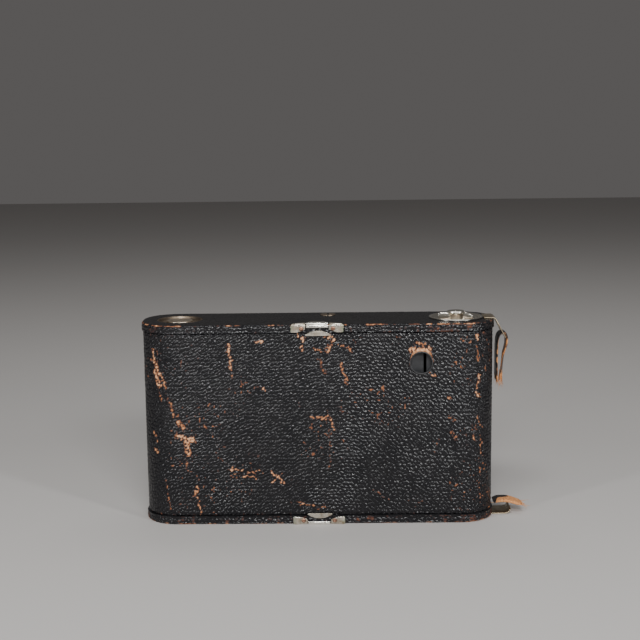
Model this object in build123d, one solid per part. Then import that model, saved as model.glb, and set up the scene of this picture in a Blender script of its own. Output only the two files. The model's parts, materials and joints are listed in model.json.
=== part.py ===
from build123d import *
import os
from math import atan2, cos, degrees, hypot, pi, sin

# Folding roll-film camera, closed, lying on its long side.
# +X runs along the length, +Y towards the drop bed (the front of the camera), +Z up.
# The origin is the centre of the face that the camera rests on. Millimetres.

# ---------------------------------------------------------------- driving dimensions
length = 194.0
depth = 44.5
height = 111.0
end_radius = 19.0          # plan radius of the rounded ends
rim = 4.5                  # height of the top and bottom plates, leather included
skin = 0.8                 # leather thickness
sheet = 1.0                # metal shell thickness
inset = 0.7                # how far the cover sits inside the rim
seam = 0.5                 # gap between the cover and each plate
split_y = 3.5              # front edge of the back cover on the rounded ends

middle = height / 2
floor_in = rim             # inner face of the bottom plate
roof_in = height - rim     # inner face of the top plate
wall_out = inset + skin    # inset of the metal shell's outer face
wall_in = wall_out + sheet

hinge_x = -60.0            # bed hinge axis
hinge_y = 20.5
knuckle_r = 1.6
pin_r = 0.8
fit = 0.05                 # radial clearance of a running fit
bed_start = 2.2            # distance of the bed's hinge end from the axis
bed_tip = 118.4            # distance of the bed's free end from the axis
bed_in = -0.3              # bed panel's inner face, measured outwards from the axis
bed_out = 0.95
bed_half = 50.3            # half width of the bed

spool_x = 76.3
spool_low = 11.5
spool_high = 99.5
spool_r = 12.0
roller_x = 66.0
roller_y = -13.0
roller_r = 4.0

gate_y = -15.4             # front face of the film gate
gate_half = 57.4           # half length of the film gate
frame_wide = 101.6         # picture size
frame_high = 82.5
chamber_x = 59.0           # inner face of the partitions
lip = 3.3                  # width of the partitions' turned edge

strut_u = 40.0             # strut pivot, from the hinge axis
strut_out = -4.0
strut_length = 56.9
strut_plane = 47.0         # inner face of each strut, from the middle plane

foot_u = 5.0               # pivot of the lens standard, from the hinge axis
foot_out = -5.0
foot_x = hinge_x + foot_u
foot_y = hinge_y + foot_out
board_back = -3.0
frame_front = 0.5
shutter_r = 23.5
lens_r = 8.6
standard_top = 25.0

window_x = 56.0
window_z = 89.3
window_r = 5.7

LOW = (Align.CENTER, Align.CENTER, Align.MIN)
nodes = {}


# ---------------------------------------------------------------- helpers
def block(x0, x1, y0, y1, z0, z1):
    return Pos(x0, y0, z0) * Box(x1 - x0, y1 - y0, z1 - z0, align=(Align.MIN,) * 3)


def rod_x(y, z, radius, x0, x1):
    return Pos(x0, y, z) * Rot(0, 90, 0) * Cylinder(radius, x1 - x0, align=LOW)


def rod_y(x, z, radius, y0, y1):
    return Pos(x, y0, z) * Rot(-90, 0, 0) * Cylinder(radius, y1 - y0, align=LOW)


def rod_z(x, y, radius, z0, z1):
    return Pos(x, y, z0) * Cylinder(radius, z1 - z0, align=LOW)


def outline(edge, z0, z1):
    """Solid with the camera's plan outline, pulled in by edge on every side."""
    plan = RectangleRounded(length - 2 * edge, depth - 2 * edge, end_radius - edge)
    return extrude(Pos(0, 0, z0) * plan, z1 - z0)


def shell(outer, inner, z0, z1):
    return outline(outer, z0, z1) - outline(inner, z0, z1)


def behind(y):
    return block(-length, length, -depth, y, -1, height + 1)


def bed_block(u0, u1, out0, out1, z0, z1):
    """Box in the bed's own terms: u from the hinge along the bed, out from the axis."""
    return block(hinge_x + u0, hinge_x + u1, hinge_y + out0, hinge_y + out1, z0, z1)


def flipped(solid):
    """Copy of a solid on the other side of the middle plane."""
    return mirror(solid, Plane.XY.offset(middle))


def strip(points, thickness, y0, y1):
    """Bent strip of constant thickness that follows points in the XZ plane."""
    left, right = [], []
    for i, (x, z) in enumerate(points):
        ahead = points[min(i + 1, len(points) - 1)]
        back = points[max(i - 1, 0)]
        turn = atan2(ahead[1] - back[1], ahead[0] - back[0]) + pi / 2
        dx, dz = cos(turn) * thickness / 2, sin(turn) * thickness / 2
        left.append((x + dx, z + dz))
        right.append((x - dx, z - dz))
    face = make_face(Plane.XZ * Polyline(*left, *reversed(right), close=True))
    return Pos(0, y1, 0) * extrude(face, y1 - y0, dir=(0, -1, 0))


def bar_y(x0, z0, x1, z1, width, y0, y1):
    """Round-ended bar that lies in an XZ plane, between two hole centres."""
    run = hypot(x1 - x0, z1 - z0)
    turn = degrees(atan2(z1 - z0, x1 - x0))
    flat = extrude(SlotCenterToCenter(run, width), y1 - y0)
    return Pos((x0 + x1) / 2, y1, (z0 + z1) / 2) * Rot(0, -turn, 0) * Rot(90, 0, 0) * flat


# ---------------------------------------------------------------- plates of the body
key_dish_r = 14.5
pin_dish_r = 12.7
dish_floor = 2.6           # depth of the dishes below the top face
key_shaft_r = 3.0
pin_shaft_r = 2.0
lower_knob_r = 6.0
plug_x, plug_y, plug_r = 5.6, 13.0, 4.4

lug_half = 7.0
lug_start = 91.1
lug_thick = 0.6

outer_low = fillet(outline(0, 0, rim).faces().sort_by(Axis.Z)[0].edges(), 1.1)
plate_low = outline(skin, skin, rim)
outer_high = flipped(outer_low)
plate_high = flipped(plate_low)

for side in (1, -1):
    recess_r = key_dish_r if side > 0 else pin_dish_r
    shaft_r = key_shaft_r if side > 0 else pin_shaft_r
    dish_cut = rod_z(side * spool_x, 0, recess_r, height - dish_floor, height + 1)
    shaft_cut = rod_z(side * spool_x, 0, shaft_r + fit, roof_in - 1, height)
    outer_high -= dish_cut
    plate_high = plate_high - dish_cut - shaft_cut
    knob_cut = rod_z(side * spool_x, 0, lower_knob_r + 0.3, -1, 2.4)
    outer_low -= knob_cut
    plate_low = plate_low - knob_cut - rod_z(side * spool_x, 0, pin_shaft_r + fit, -1, rim + 1)

plug_hole = rod_z(plug_x, plug_y, plug_r, height - 3, height + 1)
lug_recess = block(lug_start, length, -lug_half, lug_half, -1, lug_thick)
nodes["bottom_leather"] = outer_low - outline(skin, skin, rim) - lug_recess
nodes["top_leather"] = outer_high - outline(skin, roof_in, height - skin) - plug_hole
nodes["bottom_plate"] = plate_low
nodes["top_plate"] = plate_high - plug_hole

# slotted screw that closes the tripod socket on the long side
plug = rod_z(plug_x, plug_y, plug_r, height - 3, height + 0.15)
slot_cut = block(plug_x - 0.4, plug_x + 0.4, plug_y - plug_r, plug_y + plug_r, height - 0.6, height + 1)
nodes["socket_plug"] = plug - slot_cut


# ---------------------------------------------------------------- dishes
def dish(x, radius, shaft_r, z_rim):
    floor_z = height - dish_floor
    cup = rod_z(x, 0, radius, floor_z, z_rim)
    hollow_top = radius - 0.9
    hollow = Pos(x, 0, floor_z + 0.6) * Cone(radius - 1.9, hollow_top, dish_floor, align=LOW)
    return cup - hollow - rod_z(x, 0, shaft_r + fit, floor_z - 1, height)


nodes["key_dish"] = dish(spool_x, key_dish_r, key_shaft_r, height + 0.2)
nodes["pin_dish"] = dish(-spool_x, pin_dish_r, pin_shaft_r, height - 0.1)


# ---------------------------------------------------------------- fixed front walls
wall_y = split_y + 0.4
button_x, button_r = 66.0, 3.0
right_part = block(chamber_x, length, wall_y, depth, -1, height + 1)
left_part = block(-length, hinge_x - bed_start, wall_y, depth, -1, height + 1)
button_hole = rod_y(button_x, middle, button_r + 0.35, hinge_y - 3, depth)
fronts = left_part + right_part

nodes["front_walls"] = (shell(wall_out, wall_in, floor_in, roof_in) & fronts) - button_hole
nodes["wall_leathers"] = (shell(inset, wall_out, floor_in, roof_in) & fronts) - button_hole

# partitions between the bellows chamber and the spool chambers
latch_slot = block(chamber_x - 1, chamber_x + 2, 17.3, depth, middle - 4.4, middle + 4.4)
right_wall = block(chamber_x, chamber_x + sheet, gate_y, depth / 2 - wall_in, floor_in, roof_in)
left_wall = block(-chamber_x - sheet, -chamber_x, gate_y, hinge_y - 2.3, floor_in, roof_in)
right_wall += block(chamber_x, chamber_x + lip, gate_y - 1.2, gate_y, floor_in, roof_in)
left_wall += block(-chamber_x - lip, -chamber_x, gate_y - 1.2, gate_y, floor_in, roof_in)
nodes["partitions"] = (right_wall - latch_slot) + left_wall

# film gate with the picture opening
gate = block(-gate_half, gate_half, gate_y - 1.2, gate_y, floor_in, roof_in)
opening = block(-frame_wide / 2, frame_wide / 2, gate_y - 3, gate_y + 3,
                middle - frame_high / 2, middle + frame_high / 2)
nodes["film_gate"] = gate - opening

# ---------------------------------------------------------------- catches of the back cover
catch_half = 14.2
catch_mid = 6.0            # half width of the moving bar
catch_y = -depth / 2
catch_t = 0.6


def catch_plate():
    plate = block(-catch_half, catch_half, catch_y - catch_t, catch_y, roof_in + 0.2, height - 0.2)
    gap = block(-catch_mid - 0.4, catch_mid + 0.4, catch_y - 2, catch_y + 1, roof_in, height)
    return plate - gap


def catch_bar(wrap):
    """Raised bar of a catch. The top one wraps over the edge, the bottom one doesn't."""
    face = block(-catch_mid, catch_mid, catch_y - 1.2, catch_y - 0.3, roof_in + 2.0, height - 0.1)
    if not wrap:
        return face
    top = Polygon((-catch_mid, catch_y - 1.2), (catch_mid, catch_y - 1.2), (catch_mid, catch_y + 1.5),
                  (catch_mid - 2.5, catch_y + 5.5), (-catch_mid + 2.5, catch_y + 5.5),
                  (-catch_mid, catch_y + 1.5), align=None)
    lid = extrude(Pos(0, 0, height + 0.1) * top, 0.9)
    return face + block(-catch_mid, catch_mid, catch_y - 1.2, catch_y - 0.3, height - 0.2, height + 0.2) + lid


nodes["catch_plates"] = catch_plate() + flipped(catch_plate())
rivet_x = (catch_mid + catch_half) / 2 - 1.5
rivets = [rod_y(sx * rivet_x, z, 1.3, catch_y - catch_t - 0.5, catch_y - catch_t)
          for sx in (1, -1) for z in (height - 2.4, 2.4)]
nodes["catch_rivets"] = Compound(children=rivets)
nodes["top_catch"] = catch_bar(True)
nodes["bottom_catch"] = flipped(catch_bar(False))

# ---------------------------------------------------------------- strap lugs and strap ends
flare = (0.447, -0.894)
bend = (length / 2 + 0.5, height + lug_thick / 2)
lug_tip = 12.4
upper = [(lug_start, bend[1]), (bend[0] - 1.2, bend[1]), (bend[0] - 0.2, bend[1] - 0.4),
         (bend[0] + flare[0] * lug_tip, bend[1] + flare[1] * lug_tip)]
slot_mid = (bend[0] + flare[0] * 9.6, bend[1] + flare[1] * 9.6)
lug_slot = Pos(slot_mid[0], 0, slot_mid[1]) * Rot(0, degrees(atan2(-flare[1], flare[0])), 0) * Box(3.4, 12.8, 6)
nodes["upper_strap_lug"] = strip(upper, lug_thick, -lug_half, lug_half) - lug_slot

lower = [(lug_start, lug_thick / 2), (103.6, lug_thick / 2), (105.6, 0.9), (107.0, 3.0)]
nodes["lower_strap_lug"] = strip(lower, lug_thick, -lug_half, lug_half)

strap_half = 5.8
upper_strap = [(98.8, 75.0), (98.7, 90.0), (98.9, 98.0), (99.8, 101.4), (101.4, 102.6), (103.2, 102.6),
               (104.3, 100.0), (104.1, 95.5), (102.4, 89.5), (101.5, 80.0), (101.4, 75.5)]
nodes["upper_strap_end"] = strip(upper_strap, 1.1, -strap_half, strap_half)
lower_strap = [(98.4, 8.8), (102.5, 9.6), (106.5, 8.6), (110.0, 6.4), (115.6, 5.0)]
nodes["lower_strap_end"] = strip(lower_strap, 1.6, -strap_half, strap_half)

# ---------------------------------------------------------------- bed hinge, studs and axles
knuckles = 7
hinge_low = middle - bed_half
knuckle_step = 2 * bed_half / knuckles


def knuckle_span(i):
    return hinge_low + i * knuckle_step + 0.15, hinge_low + (i + 1) * knuckle_step - 0.15


leaf = block(hinge_x - 12, hinge_x - 1.8, hinge_y - 1.75, hinge_y - 0.75, hinge_low, hinge_low + 2 * bed_half)
for i in range(0, knuckles, 2):
    z0, z1 = knuckle_span(i)
    leaf += block(hinge_x - 2.1, hinge_x, hinge_y - 1.3, hinge_y - 0.1, z0, z1)
    leaf += rod_z(hinge_x, hinge_y, knuckle_r, z0, z1)
nodes["hinge_leaf"] = leaf - rod_z(hinge_x, hinge_y, pin_r + fit, 0, height)
nodes["hinge_pin"] = rod_z(hinge_x, hinge_y, pin_r, floor_in, roof_in)

strut_x = hinge_x + strut_u
strut_y = hinge_y + strut_out
strut_pin = rod_z(strut_x, strut_y, 1.2, floor_in, middle - strut_plane + 0.2)
axles = [rod_z(sx * roller_x, roller_y, 1.0, floor_in, roof_in) for sx in (1, -1)]
nodes["inner_pins"] = Compound(children=[strut_pin, flipped(strut_pin)] + axles)

# ---------------------------------------------------------------- back cover
cover_low = floor_in + seam
cover_high = roof_in - seam
window = rod_y(window_x, window_z, window_r + 0.6, -depth, 0)
nodes["back_cover"] = (shell(wall_out, wall_in, cover_low, cover_high) & behind(split_y)) - window
nodes["cover_leather"] = (shell(inset, wall_out, cover_low, cover_high) & behind(split_y)) - window
ring_y = inset - depth / 2
ring = rod_y(window_x, window_z, window_r + 0.6, ring_y + 0.1, ring_y + skin + sheet)
nodes["window_ring"] = ring - rod_y(window_x, window_z, window_r, -depth, 0)
tongue = block(-6.8, 6.8, ring_y - 0.5, ring_y, cover_high - 2.9, cover_high - 0.1)
nodes["cover_tongues"] = tongue + flipped(tongue)

# ---------------------------------------------------------------- spools, key and pins
core_r = 5.0
flange_t = 0.7


def spool(x):
    core = rod_z(x, 0, core_r, spool_low + flange_t, spool_high - flange_t)
    core -= rod_z(x, 0, 2.6, 0, spool_low + 6)
    ends = [rod_z(x, 0, spool_r, z, z + flange_t) - rod_z(x, 0, 2.6, z - 1, z + 2)
            for z in (spool_low, spool_high - flange_t)]
    return core, ends


take_up, take_up_ends = spool(spool_x)
blade_slot = block(spool_x - 4.2, spool_x + 4.2, -1.0, 1.0, spool_high - 5, spool_high + 1)
nodes["take_up_core"] = take_up - blade_slot
nodes["take_up_flanges"] = Compound(children=[take_up_ends[0], take_up_ends[1] - blade_slot])
supply, supply_ends = spool(-spool_x)
nodes["supply_core"] = supply - rod_z(-spool_x, 0, 2.6, spool_high - 6, height)
nodes["supply_flanges"] = Compound(children=supply_ends)

key_floor = height - dish_floor + 0.6
hub_r = 5.0
hub = rod_z(spool_x, 0, hub_r, key_floor + 0.3, height + 3.6)
key = fillet(hub.faces().sort_by(Axis.Z)[-1].edges(), 0.6)
key += rod_z(spool_x, 0, key_shaft_r, spool_high + 1.0, key_floor + 0.5)
key += block(spool_x - 3.6, spool_x + 3.6, -0.6, 0.6, spool_high - 4, spool_high + 1.1)
for side in (1, -1):
    wing = block(spool_x + side * 6.6 - 3, spool_x + side * 6.6 + 3, -0.9, 0.9, key_floor + 0.6, height + 3.0)
    key += Pos(0, side * 1.7, 0) * wing
nodes["winding_key"] = key


def pulled_pin(x, knob_r, z_knob, thick, z_nose):
    low, high = sorted((z_knob, z_nose))
    pin = rod_z(x, 0, pin_shaft_r, low, high)
    return pin + rod_z(x, 0, knob_r, z_knob, z_knob + thick)


nodes["supply_pin"] = pulled_pin(-spool_x, 7.3, height - dish_floor + 0.8, 1.3, spool_high - 4)
nodes["supply_lower_pin"] = pulled_pin(-spool_x, lower_knob_r, 0.7, 1.4, spool_low + 4)
nodes["take_up_lower_pin"] = pulled_pin(spool_x, lower_knob_r, 0.7, 1.4, spool_low + 4)

for name, side in (("left_roller", -1), ("right_roller", 1)):
    roller = rod_z(side * roller_x, roller_y, roller_r, floor_in + 4, roof_in - 4)
    nodes[name] = roller - rod_z(side * roller_x, roller_y, 1.0 + fit, 0, height)

# ---------------------------------------------------------------- drop bed
bed_z0, bed_z1 = middle - bed_half, middle + bed_half
leg_u, leg_out = 112.0, 0.4
leg_r, leg_half, leg_reach = 0.7, 8.0, 35.0
bush_u = -hinge_x

panel = bed_block(bed_start, bed_tip, bed_in, bed_out, bed_z0, bed_z1)
for i in range(1, knuckles, 2):
    z0, z1 = knuckle_span(i)
    panel += bed_block(0, bed_start + 0.2, bed_in, 0.9, z0, z1)
    panel += rod_z(hinge_x, hinge_y, knuckle_r, z0, z1)
    panel -= rod_z(hinge_x, hinge_y, pin_r + fit, z0 - 0.2, z1 + 0.2)
leg_bed = bed_block(leg_u - leg_reach - 2, leg_u + 1.1, 0.15, 3, middle - leg_half - 0.4, middle + leg_half + 0.4)
leg_slot = bed_block(leg_u - 1.1, leg_u + 1.1, -1, 3, middle - leg_half - 0.4, middle + leg_half + 0.4)
trunnion_hole = rod_z(hinge_x + leg_u, hinge_y + leg_out, 0.4 + fit, middle - 10.5, middle + 10.5)
bush_hole = rod_y(hinge_x + bush_u, middle, 5.0, 0, depth)
nodes["bed_panel"] = panel - leg_bed - leg_slot - trunnion_hole - bush_hole
cover_skin = bed_block(bed_start + 0.4, bed_tip - 0.2, bed_out, bed_out + skin, bed_z0 + 0.2, bed_z1 - 0.2)
nodes["bed_leather"] = cover_skin - leg_bed - bush_hole

bush = rod_y(hinge_x + bush_u, middle, 5.0, hinge_y - 1.9, hinge_y + bed_out + skin)
nodes["tripod_bush"] = bush - rod_y(hinge_x + bush_u, middle, 3.175, 0, depth)

flange = bed_block(8, 112, -5.2, bed_in, middle + 45, middle + 46)
flange += rod_z(strut_x, strut_y, 1.2, middle + 45.5, middle + 46.5)
nodes["bed_flanges"] = flange + flipped(flange)
track = bed_block(4, 116, -2.05, bed_in, middle + 15, middle + 19)
nodes["bed_track"] = track + flipped(track)
scale_plate = bed_block(78, 112, bed_in - 0.5, bed_in, middle - 34, middle - 25)
stop = bed_block(97, 101, -2.0, bed_in, middle + 25, middle + 31)
nodes["focus_scale"] = scale_plate + stop

# leg that swings out of the bed to hold the open camera upright
leg = bed_block(leg_u - leg_reach, leg_u, leg_out, leg_out + leg_r, middle - leg_half, middle + leg_half)
leg -= bed_block(leg_u - leg_reach + 8, leg_u - 8, -1, 3, middle - leg_half + 3, middle + leg_half - 3)
leg += rod_z(hinge_x + leg_u, hinge_y + leg_out, leg_r, middle - leg_half, middle + leg_half)
leg += rod_z(hinge_x + leg_u, hinge_y + leg_out, 0.4, middle - 10, middle + 10)
nodes["bed_leg"] = leg

# button that frees the bed, with the nose that lies at the bed's tip
button = rod_y(button_x, middle, button_r, 18.7, depth / 2 - 0.1)
button += block(chamber_x - 0.25, button_x, 18.7, 19.5, middle - 4, middle + 4)
nodes["bed_button"] = button

# ---------------------------------------------------------------- struts
for name, side in (("lower_strut", -1), ("upper_strut", 1)):
    z0 = middle + strut_plane if side > 0 else middle - strut_plane - 1
    bar = extrude(Pos(strut_x + strut_length / 2, strut_y, z0) * SlotCenterToCenter(strut_length, 4.0), 1.0)
    for x in (strut_x, strut_x + strut_length):
        bar -= rod_z(x, strut_y, 1.2 + fit, 0, height)
    nodes[name] = bar

# ---------------------------------------------------------------- carriage
carriage = bed_block(8, 20, -3.6, -2.3, middle - 21, middle + 21)
for side in (1, -1):
    edges = sorted((middle + side * 19.3, middle + side * 21))
    carriage += bed_block(3.4, 20, -3.6, -1.0, *edges)
    carriage += bed_block(3.4, 6.6, -6.2, -3.6, *edges)
carriage += rod_z(foot_x, foot_y, pin_r, middle - 21, middle + 21)
lever_u, lever_z = 14.0, middle + 15.0
carriage += rod_y(hinge_x + lever_u, lever_z, 1.0, hinge_y - 5.0, hinge_y - 3.5)
nodes["carriage"] = carriage
lever = bar_y(hinge_x + lever_u, lever_z, hinge_x + lever_u, lever_z + 19, 4.0, hinge_y - 4.7, hinge_y - 3.9)
nodes["focus_lever"] = lever - rod_y(hinge_x + lever_u, lever_z, 1.0 + fit, 0, depth)

# ---------------------------------------------------------------- lens standard
upright_in, upright_out = 31.0, 34.0
finder_x, finder_z, finder_half = 15.2, middle + 39, 5.0

standard = block(foot_x - 1.4, foot_x + 0.1, board_back + 1.5, foot_y, middle - 18, middle + 18)
standard += rod_z(foot_x, foot_y, knuckle_r, middle - 18.9, middle + 18.9)
standard -= rod_z(foot_x, foot_y, pin_r + fit, 0, height)
standard += block(foot_x - 1.4, -50, board_back + 1.5, frame_front, middle - upright_out, middle + upright_out)
for z0 in (middle - upright_out, middle + upright_in):
    standard += block(-50, 22, board_back + 1.5, frame_front, z0, z0 + 3)
standard += block(11, 19, board_back + 1.5, frame_front, middle + upright_in, finder_z + 3)
standard += rod_y(finder_x, finder_z, 1.5, frame_front - 0.5, 2.0)
nodes["standard_frame"] = standard

board = block(-31, standard_top, board_back, board_back + 1.5, middle - 33, middle + 33)
nodes["lens_board"] = board - rod_y(0, middle, 12, -depth, depth)

case = rod_y(0, middle, shutter_r, board_back + 1.5, 8) - rod_y(0, middle, 21.5, 0, 20)
nodes["shutter_case"] = case - rod_y(0, middle, 12, -depth, depth)
nodes["shutter_face"] = rod_y(0, middle, 23, 8, 9) - rod_y(0, middle, lens_r, 0, 20)
blades = [rod_y(0, middle, 21, y, y + 0.5) - rod_y(0, middle, 4, 0, 20) for y in (3.6, 5.0)]
nodes["shutter_blades"] = Compound(children=blades)

barrel = rod_y(0, middle, 10.4, 9, 12) + rod_y(0, middle, 11.0, 12, 15)
rear_cell = rod_y(0, middle, 12, board_back - 3, 0)
bore = rod_y(0, middle, lens_r, -depth, depth)
nodes["lens_barrel"] = Compound(children=[barrel - bore, rear_cell - bore])
front_glass = rod_y(0, middle, lens_r, 11, 13.2)
rear_glass = rod_y(0, middle, lens_r, board_back - 2, board_back)
nodes["lens_glasses"] = Compound(children=[front_glass, rear_glass])

arm = bar_y(-11.6, middle, -20.5, middle, 3.0, 9.3, 10.1) + rod_y(0, middle, 12.6, 9.3, 10.1)
nodes["aperture_lever"] = arm - rod_y(0, middle, 10.8, 0, 20)
release_x, release_z = 10.0, middle - 15.0
release = bar_y(release_x, release_z, release_x + 7, release_z - 10.6, 3.4, 9.3, 10.1)
nodes["release_lever"] = release + rod_y(release_x, release_z, 2.6, 9.2, 10.8)

# reversible brilliant finder
finder = block(finder_x - finder_half, finder_x + finder_half, 1.0, 13.0,
               finder_z - finder_half, finder_z + finder_half)
finder -= block(finder_x - 4, finder_x + 4, 3.2, 12.2, finder_z - 4, finder_z + 4)
finder -= rod_y(finder_x, finder_z, 3.2, 10, 14)
finder -= block(finder_x, finder_x + 6, 4, 12, finder_z - 3.6, finder_z + 3.6)
nodes["finder_body"] = finder - rod_y(finder_x, finder_z, 1.5 + fit, 0, 3.5)
view_lens = rod_y(finder_x, finder_z, 3.2, 12.2, 13.2)
view_glass = block(finder_x + 4, finder_x + 4.7, 4, 12, finder_z - 3.6, finder_z + 3.6)
nodes["finder_glasses"] = Compound(children=[view_lens, view_glass])

# ---------------------------------------------------------------- bellows, folded
pleats = 6
bellows_back = gate_y + 0.1
bellows_front = board_back - 0.1
pleat = (bellows_front - bellows_back) / pleats
bellows = None
for i in range(pleats):
    grow = i / (pleats - 1)
    half_x = 56.5 - grow * (56.5 - 26.0)
    half_z = 44.5 - grow * (44.5 - 29.0)
    centre = -3.0 * grow
    wall = 7.5
    y0 = bellows_back + i * pleat
    fold = block(centre - half_x, centre + half_x, y0, y0 + pleat, middle - half_z, middle + half_z)
    fold -= block(centre - half_x + wall, centre + half_x - wall, y0 - 1, y0 + pleat + 1,
                  middle - half_z + wall, middle + half_z - wall)
    bellows = fold if bellows is None else bellows + fold
nodes["bellows"] = bellows

# ---------------------------------------------------------------- write one STEP per node
os.makedirs("parts", exist_ok=True)
for name, solid in nodes.items():
    export_step(solid, f"parts/{name}.step")
print(len(nodes), "nodes")
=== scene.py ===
import json
import math
import random
from itertools import product

import bmesh
import bpy
import numpy as np
from mathutils import Matrix, Vector
from mathutils.geometry import delaunay_2d_cdt


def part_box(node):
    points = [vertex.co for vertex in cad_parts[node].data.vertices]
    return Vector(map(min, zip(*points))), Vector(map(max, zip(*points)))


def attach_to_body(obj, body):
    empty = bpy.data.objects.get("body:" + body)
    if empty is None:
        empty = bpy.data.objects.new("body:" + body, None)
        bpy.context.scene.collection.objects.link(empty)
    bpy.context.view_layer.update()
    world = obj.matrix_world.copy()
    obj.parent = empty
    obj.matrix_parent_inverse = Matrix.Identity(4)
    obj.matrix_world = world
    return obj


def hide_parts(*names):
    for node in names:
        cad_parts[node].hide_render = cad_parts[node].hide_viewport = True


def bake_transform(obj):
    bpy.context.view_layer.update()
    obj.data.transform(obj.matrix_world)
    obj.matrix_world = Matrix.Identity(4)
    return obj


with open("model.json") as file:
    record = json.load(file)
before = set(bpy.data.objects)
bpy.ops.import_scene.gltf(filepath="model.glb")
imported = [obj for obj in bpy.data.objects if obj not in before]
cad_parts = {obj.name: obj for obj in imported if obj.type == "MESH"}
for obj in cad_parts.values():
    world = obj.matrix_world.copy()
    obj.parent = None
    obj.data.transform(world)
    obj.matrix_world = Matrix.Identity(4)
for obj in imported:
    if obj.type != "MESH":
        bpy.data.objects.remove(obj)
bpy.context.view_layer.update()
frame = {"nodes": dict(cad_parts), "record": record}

# Looks of a closed folding roll-film camera that lies on its long side.
# Lengths are millimetres in the CAD frame and MM turns them into Blender's metres.
# Lights and bump distances are given in metres.
MM = 0.001
nodes = frame["nodes"]
rng = random.Random(11)


def box_mm(node):
    low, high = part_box(node)
    return np.array(low) / MM, np.array(high) / MM


top_low, top_high = box_mm("top_leather")
HALF_X, HALF_Y, HEIGHT = map(float, top_high)
RIM_TOP = float(top_low[2])          # lower edge of the top cap
MIDDLE = HEIGHT / 2
END_R = 19.0                         # radius of the rounded ends
SKIN = 0.8                           # thickness of the leather
SHEET = SKIN - 0.01                  # depth of a sheet's hidden side
COVER_INSET = 0.7                    # the side leathers lie this far inside the rims
cover_low, cover_high = box_mm("cover_leather")
COVER_LOW, COVER_HIGH = float(cover_low[2]) + 0.02, float(cover_high[2]) - 0.02
WINDOW = (56.0, 89.3)                # x and z of the film window
WINDOW_HOLE = 6.3                    # radius of its hole in the leather
SPOOL_X = 76.3                       # x of the two spool axes, one on each side
LEATHER = "black_leather"


# ------------------------------------------------------------------ camera, light, floor
def make_camera():
    data = bpy.data.cameras.new("camera")
    data.sensor_width, data.lens = 36, 68.9
    data.clip_start, data.clip_end = 0.01, 20
    cam = bpy.data.objects.new("camera", data)
    bpy.context.scene.collection.objects.link(cam)
    pitch, yaw, roll = 0.1556, 0.015, -0.0118
    turn = Matrix.Rotation(yaw, 4, "Z")
    place = turn @ Vector((1.32 * MM, -669.5 * MM, 214.9 * MM))
    look = turn @ Matrix.Rotation(math.pi / 2 - pitch, 4, "X") @ Matrix.Rotation(roll, 4, "Z")
    cam.matrix_world = Matrix.Translation(place) @ look
    bpy.context.scene.camera = cam


def area_light(name, place, aim, size, power):
    data = bpy.data.lights.new(name, "AREA")
    data.shape = "RECTANGLE"
    data.size, data.size_y = size
    data.energy = power
    lamp = bpy.data.objects.new(name, data)
    bpy.context.scene.collection.objects.link(lamp)
    lamp.location = place
    lamp.rotation_euler = (Vector(aim) - Vector(place)).to_track_quat("-Z", "Y").to_euler()


def make_stage():
    world = bpy.data.worlds.new("studio")
    bpy.context.scene.world = world
    world.use_nodes = True
    back = world.node_tree.nodes["Background"]
    back.inputs["Color"].default_value = (0.105, 0.100, 0.098, 1)
    back.inputs["Strength"].default_value = 1.0
    area_light("key_softbox", (-0.12, -0.66, 1.00), (0.0, -0.16, 0.02), (0.42, 0.24), 5.0)
    area_light("front_softbox", (0.16, -1.12, 0.66), (0.0, -0.05, 0.05), (0.62, 0.15), 11.5)
    area_light("left_strip", (-0.70, -0.66, 0.36), (-0.05, 0, 0.06), (0.06, 0.50), 3.6)
    area_light("right_strip", (0.74, -0.74, 0.40), (0.05, 0, 0.06), (0.08, 0.50), 5.0)
    area_light("high_back", (0.1, 0.50, 1.25), (0, 0.1, 0.0), (0.9, 0.5), 3)
    mesh = bpy.data.meshes.new("floor")
    reach = 3.0
    mesh.from_pydata([(x, y, 0) for x, y in rect(-reach, -reach, reach, reach)], [], [(0, 1, 2, 3)])
    look = Look("floor_grey")
    look.to("Base Color", (0.46, 0.445, 0.43))
    look.to("Roughness", 0.7)
    floor = as_object("floor", mesh, look.mat)
    floor.location.z = -0.00003


# ------------------------------------------------------------------ material helpers
def grey(value):
    """A single number as a grey; a colour is passed on as it is."""
    return (value, value, value) if isinstance(value, (int, float)) else value


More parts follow.
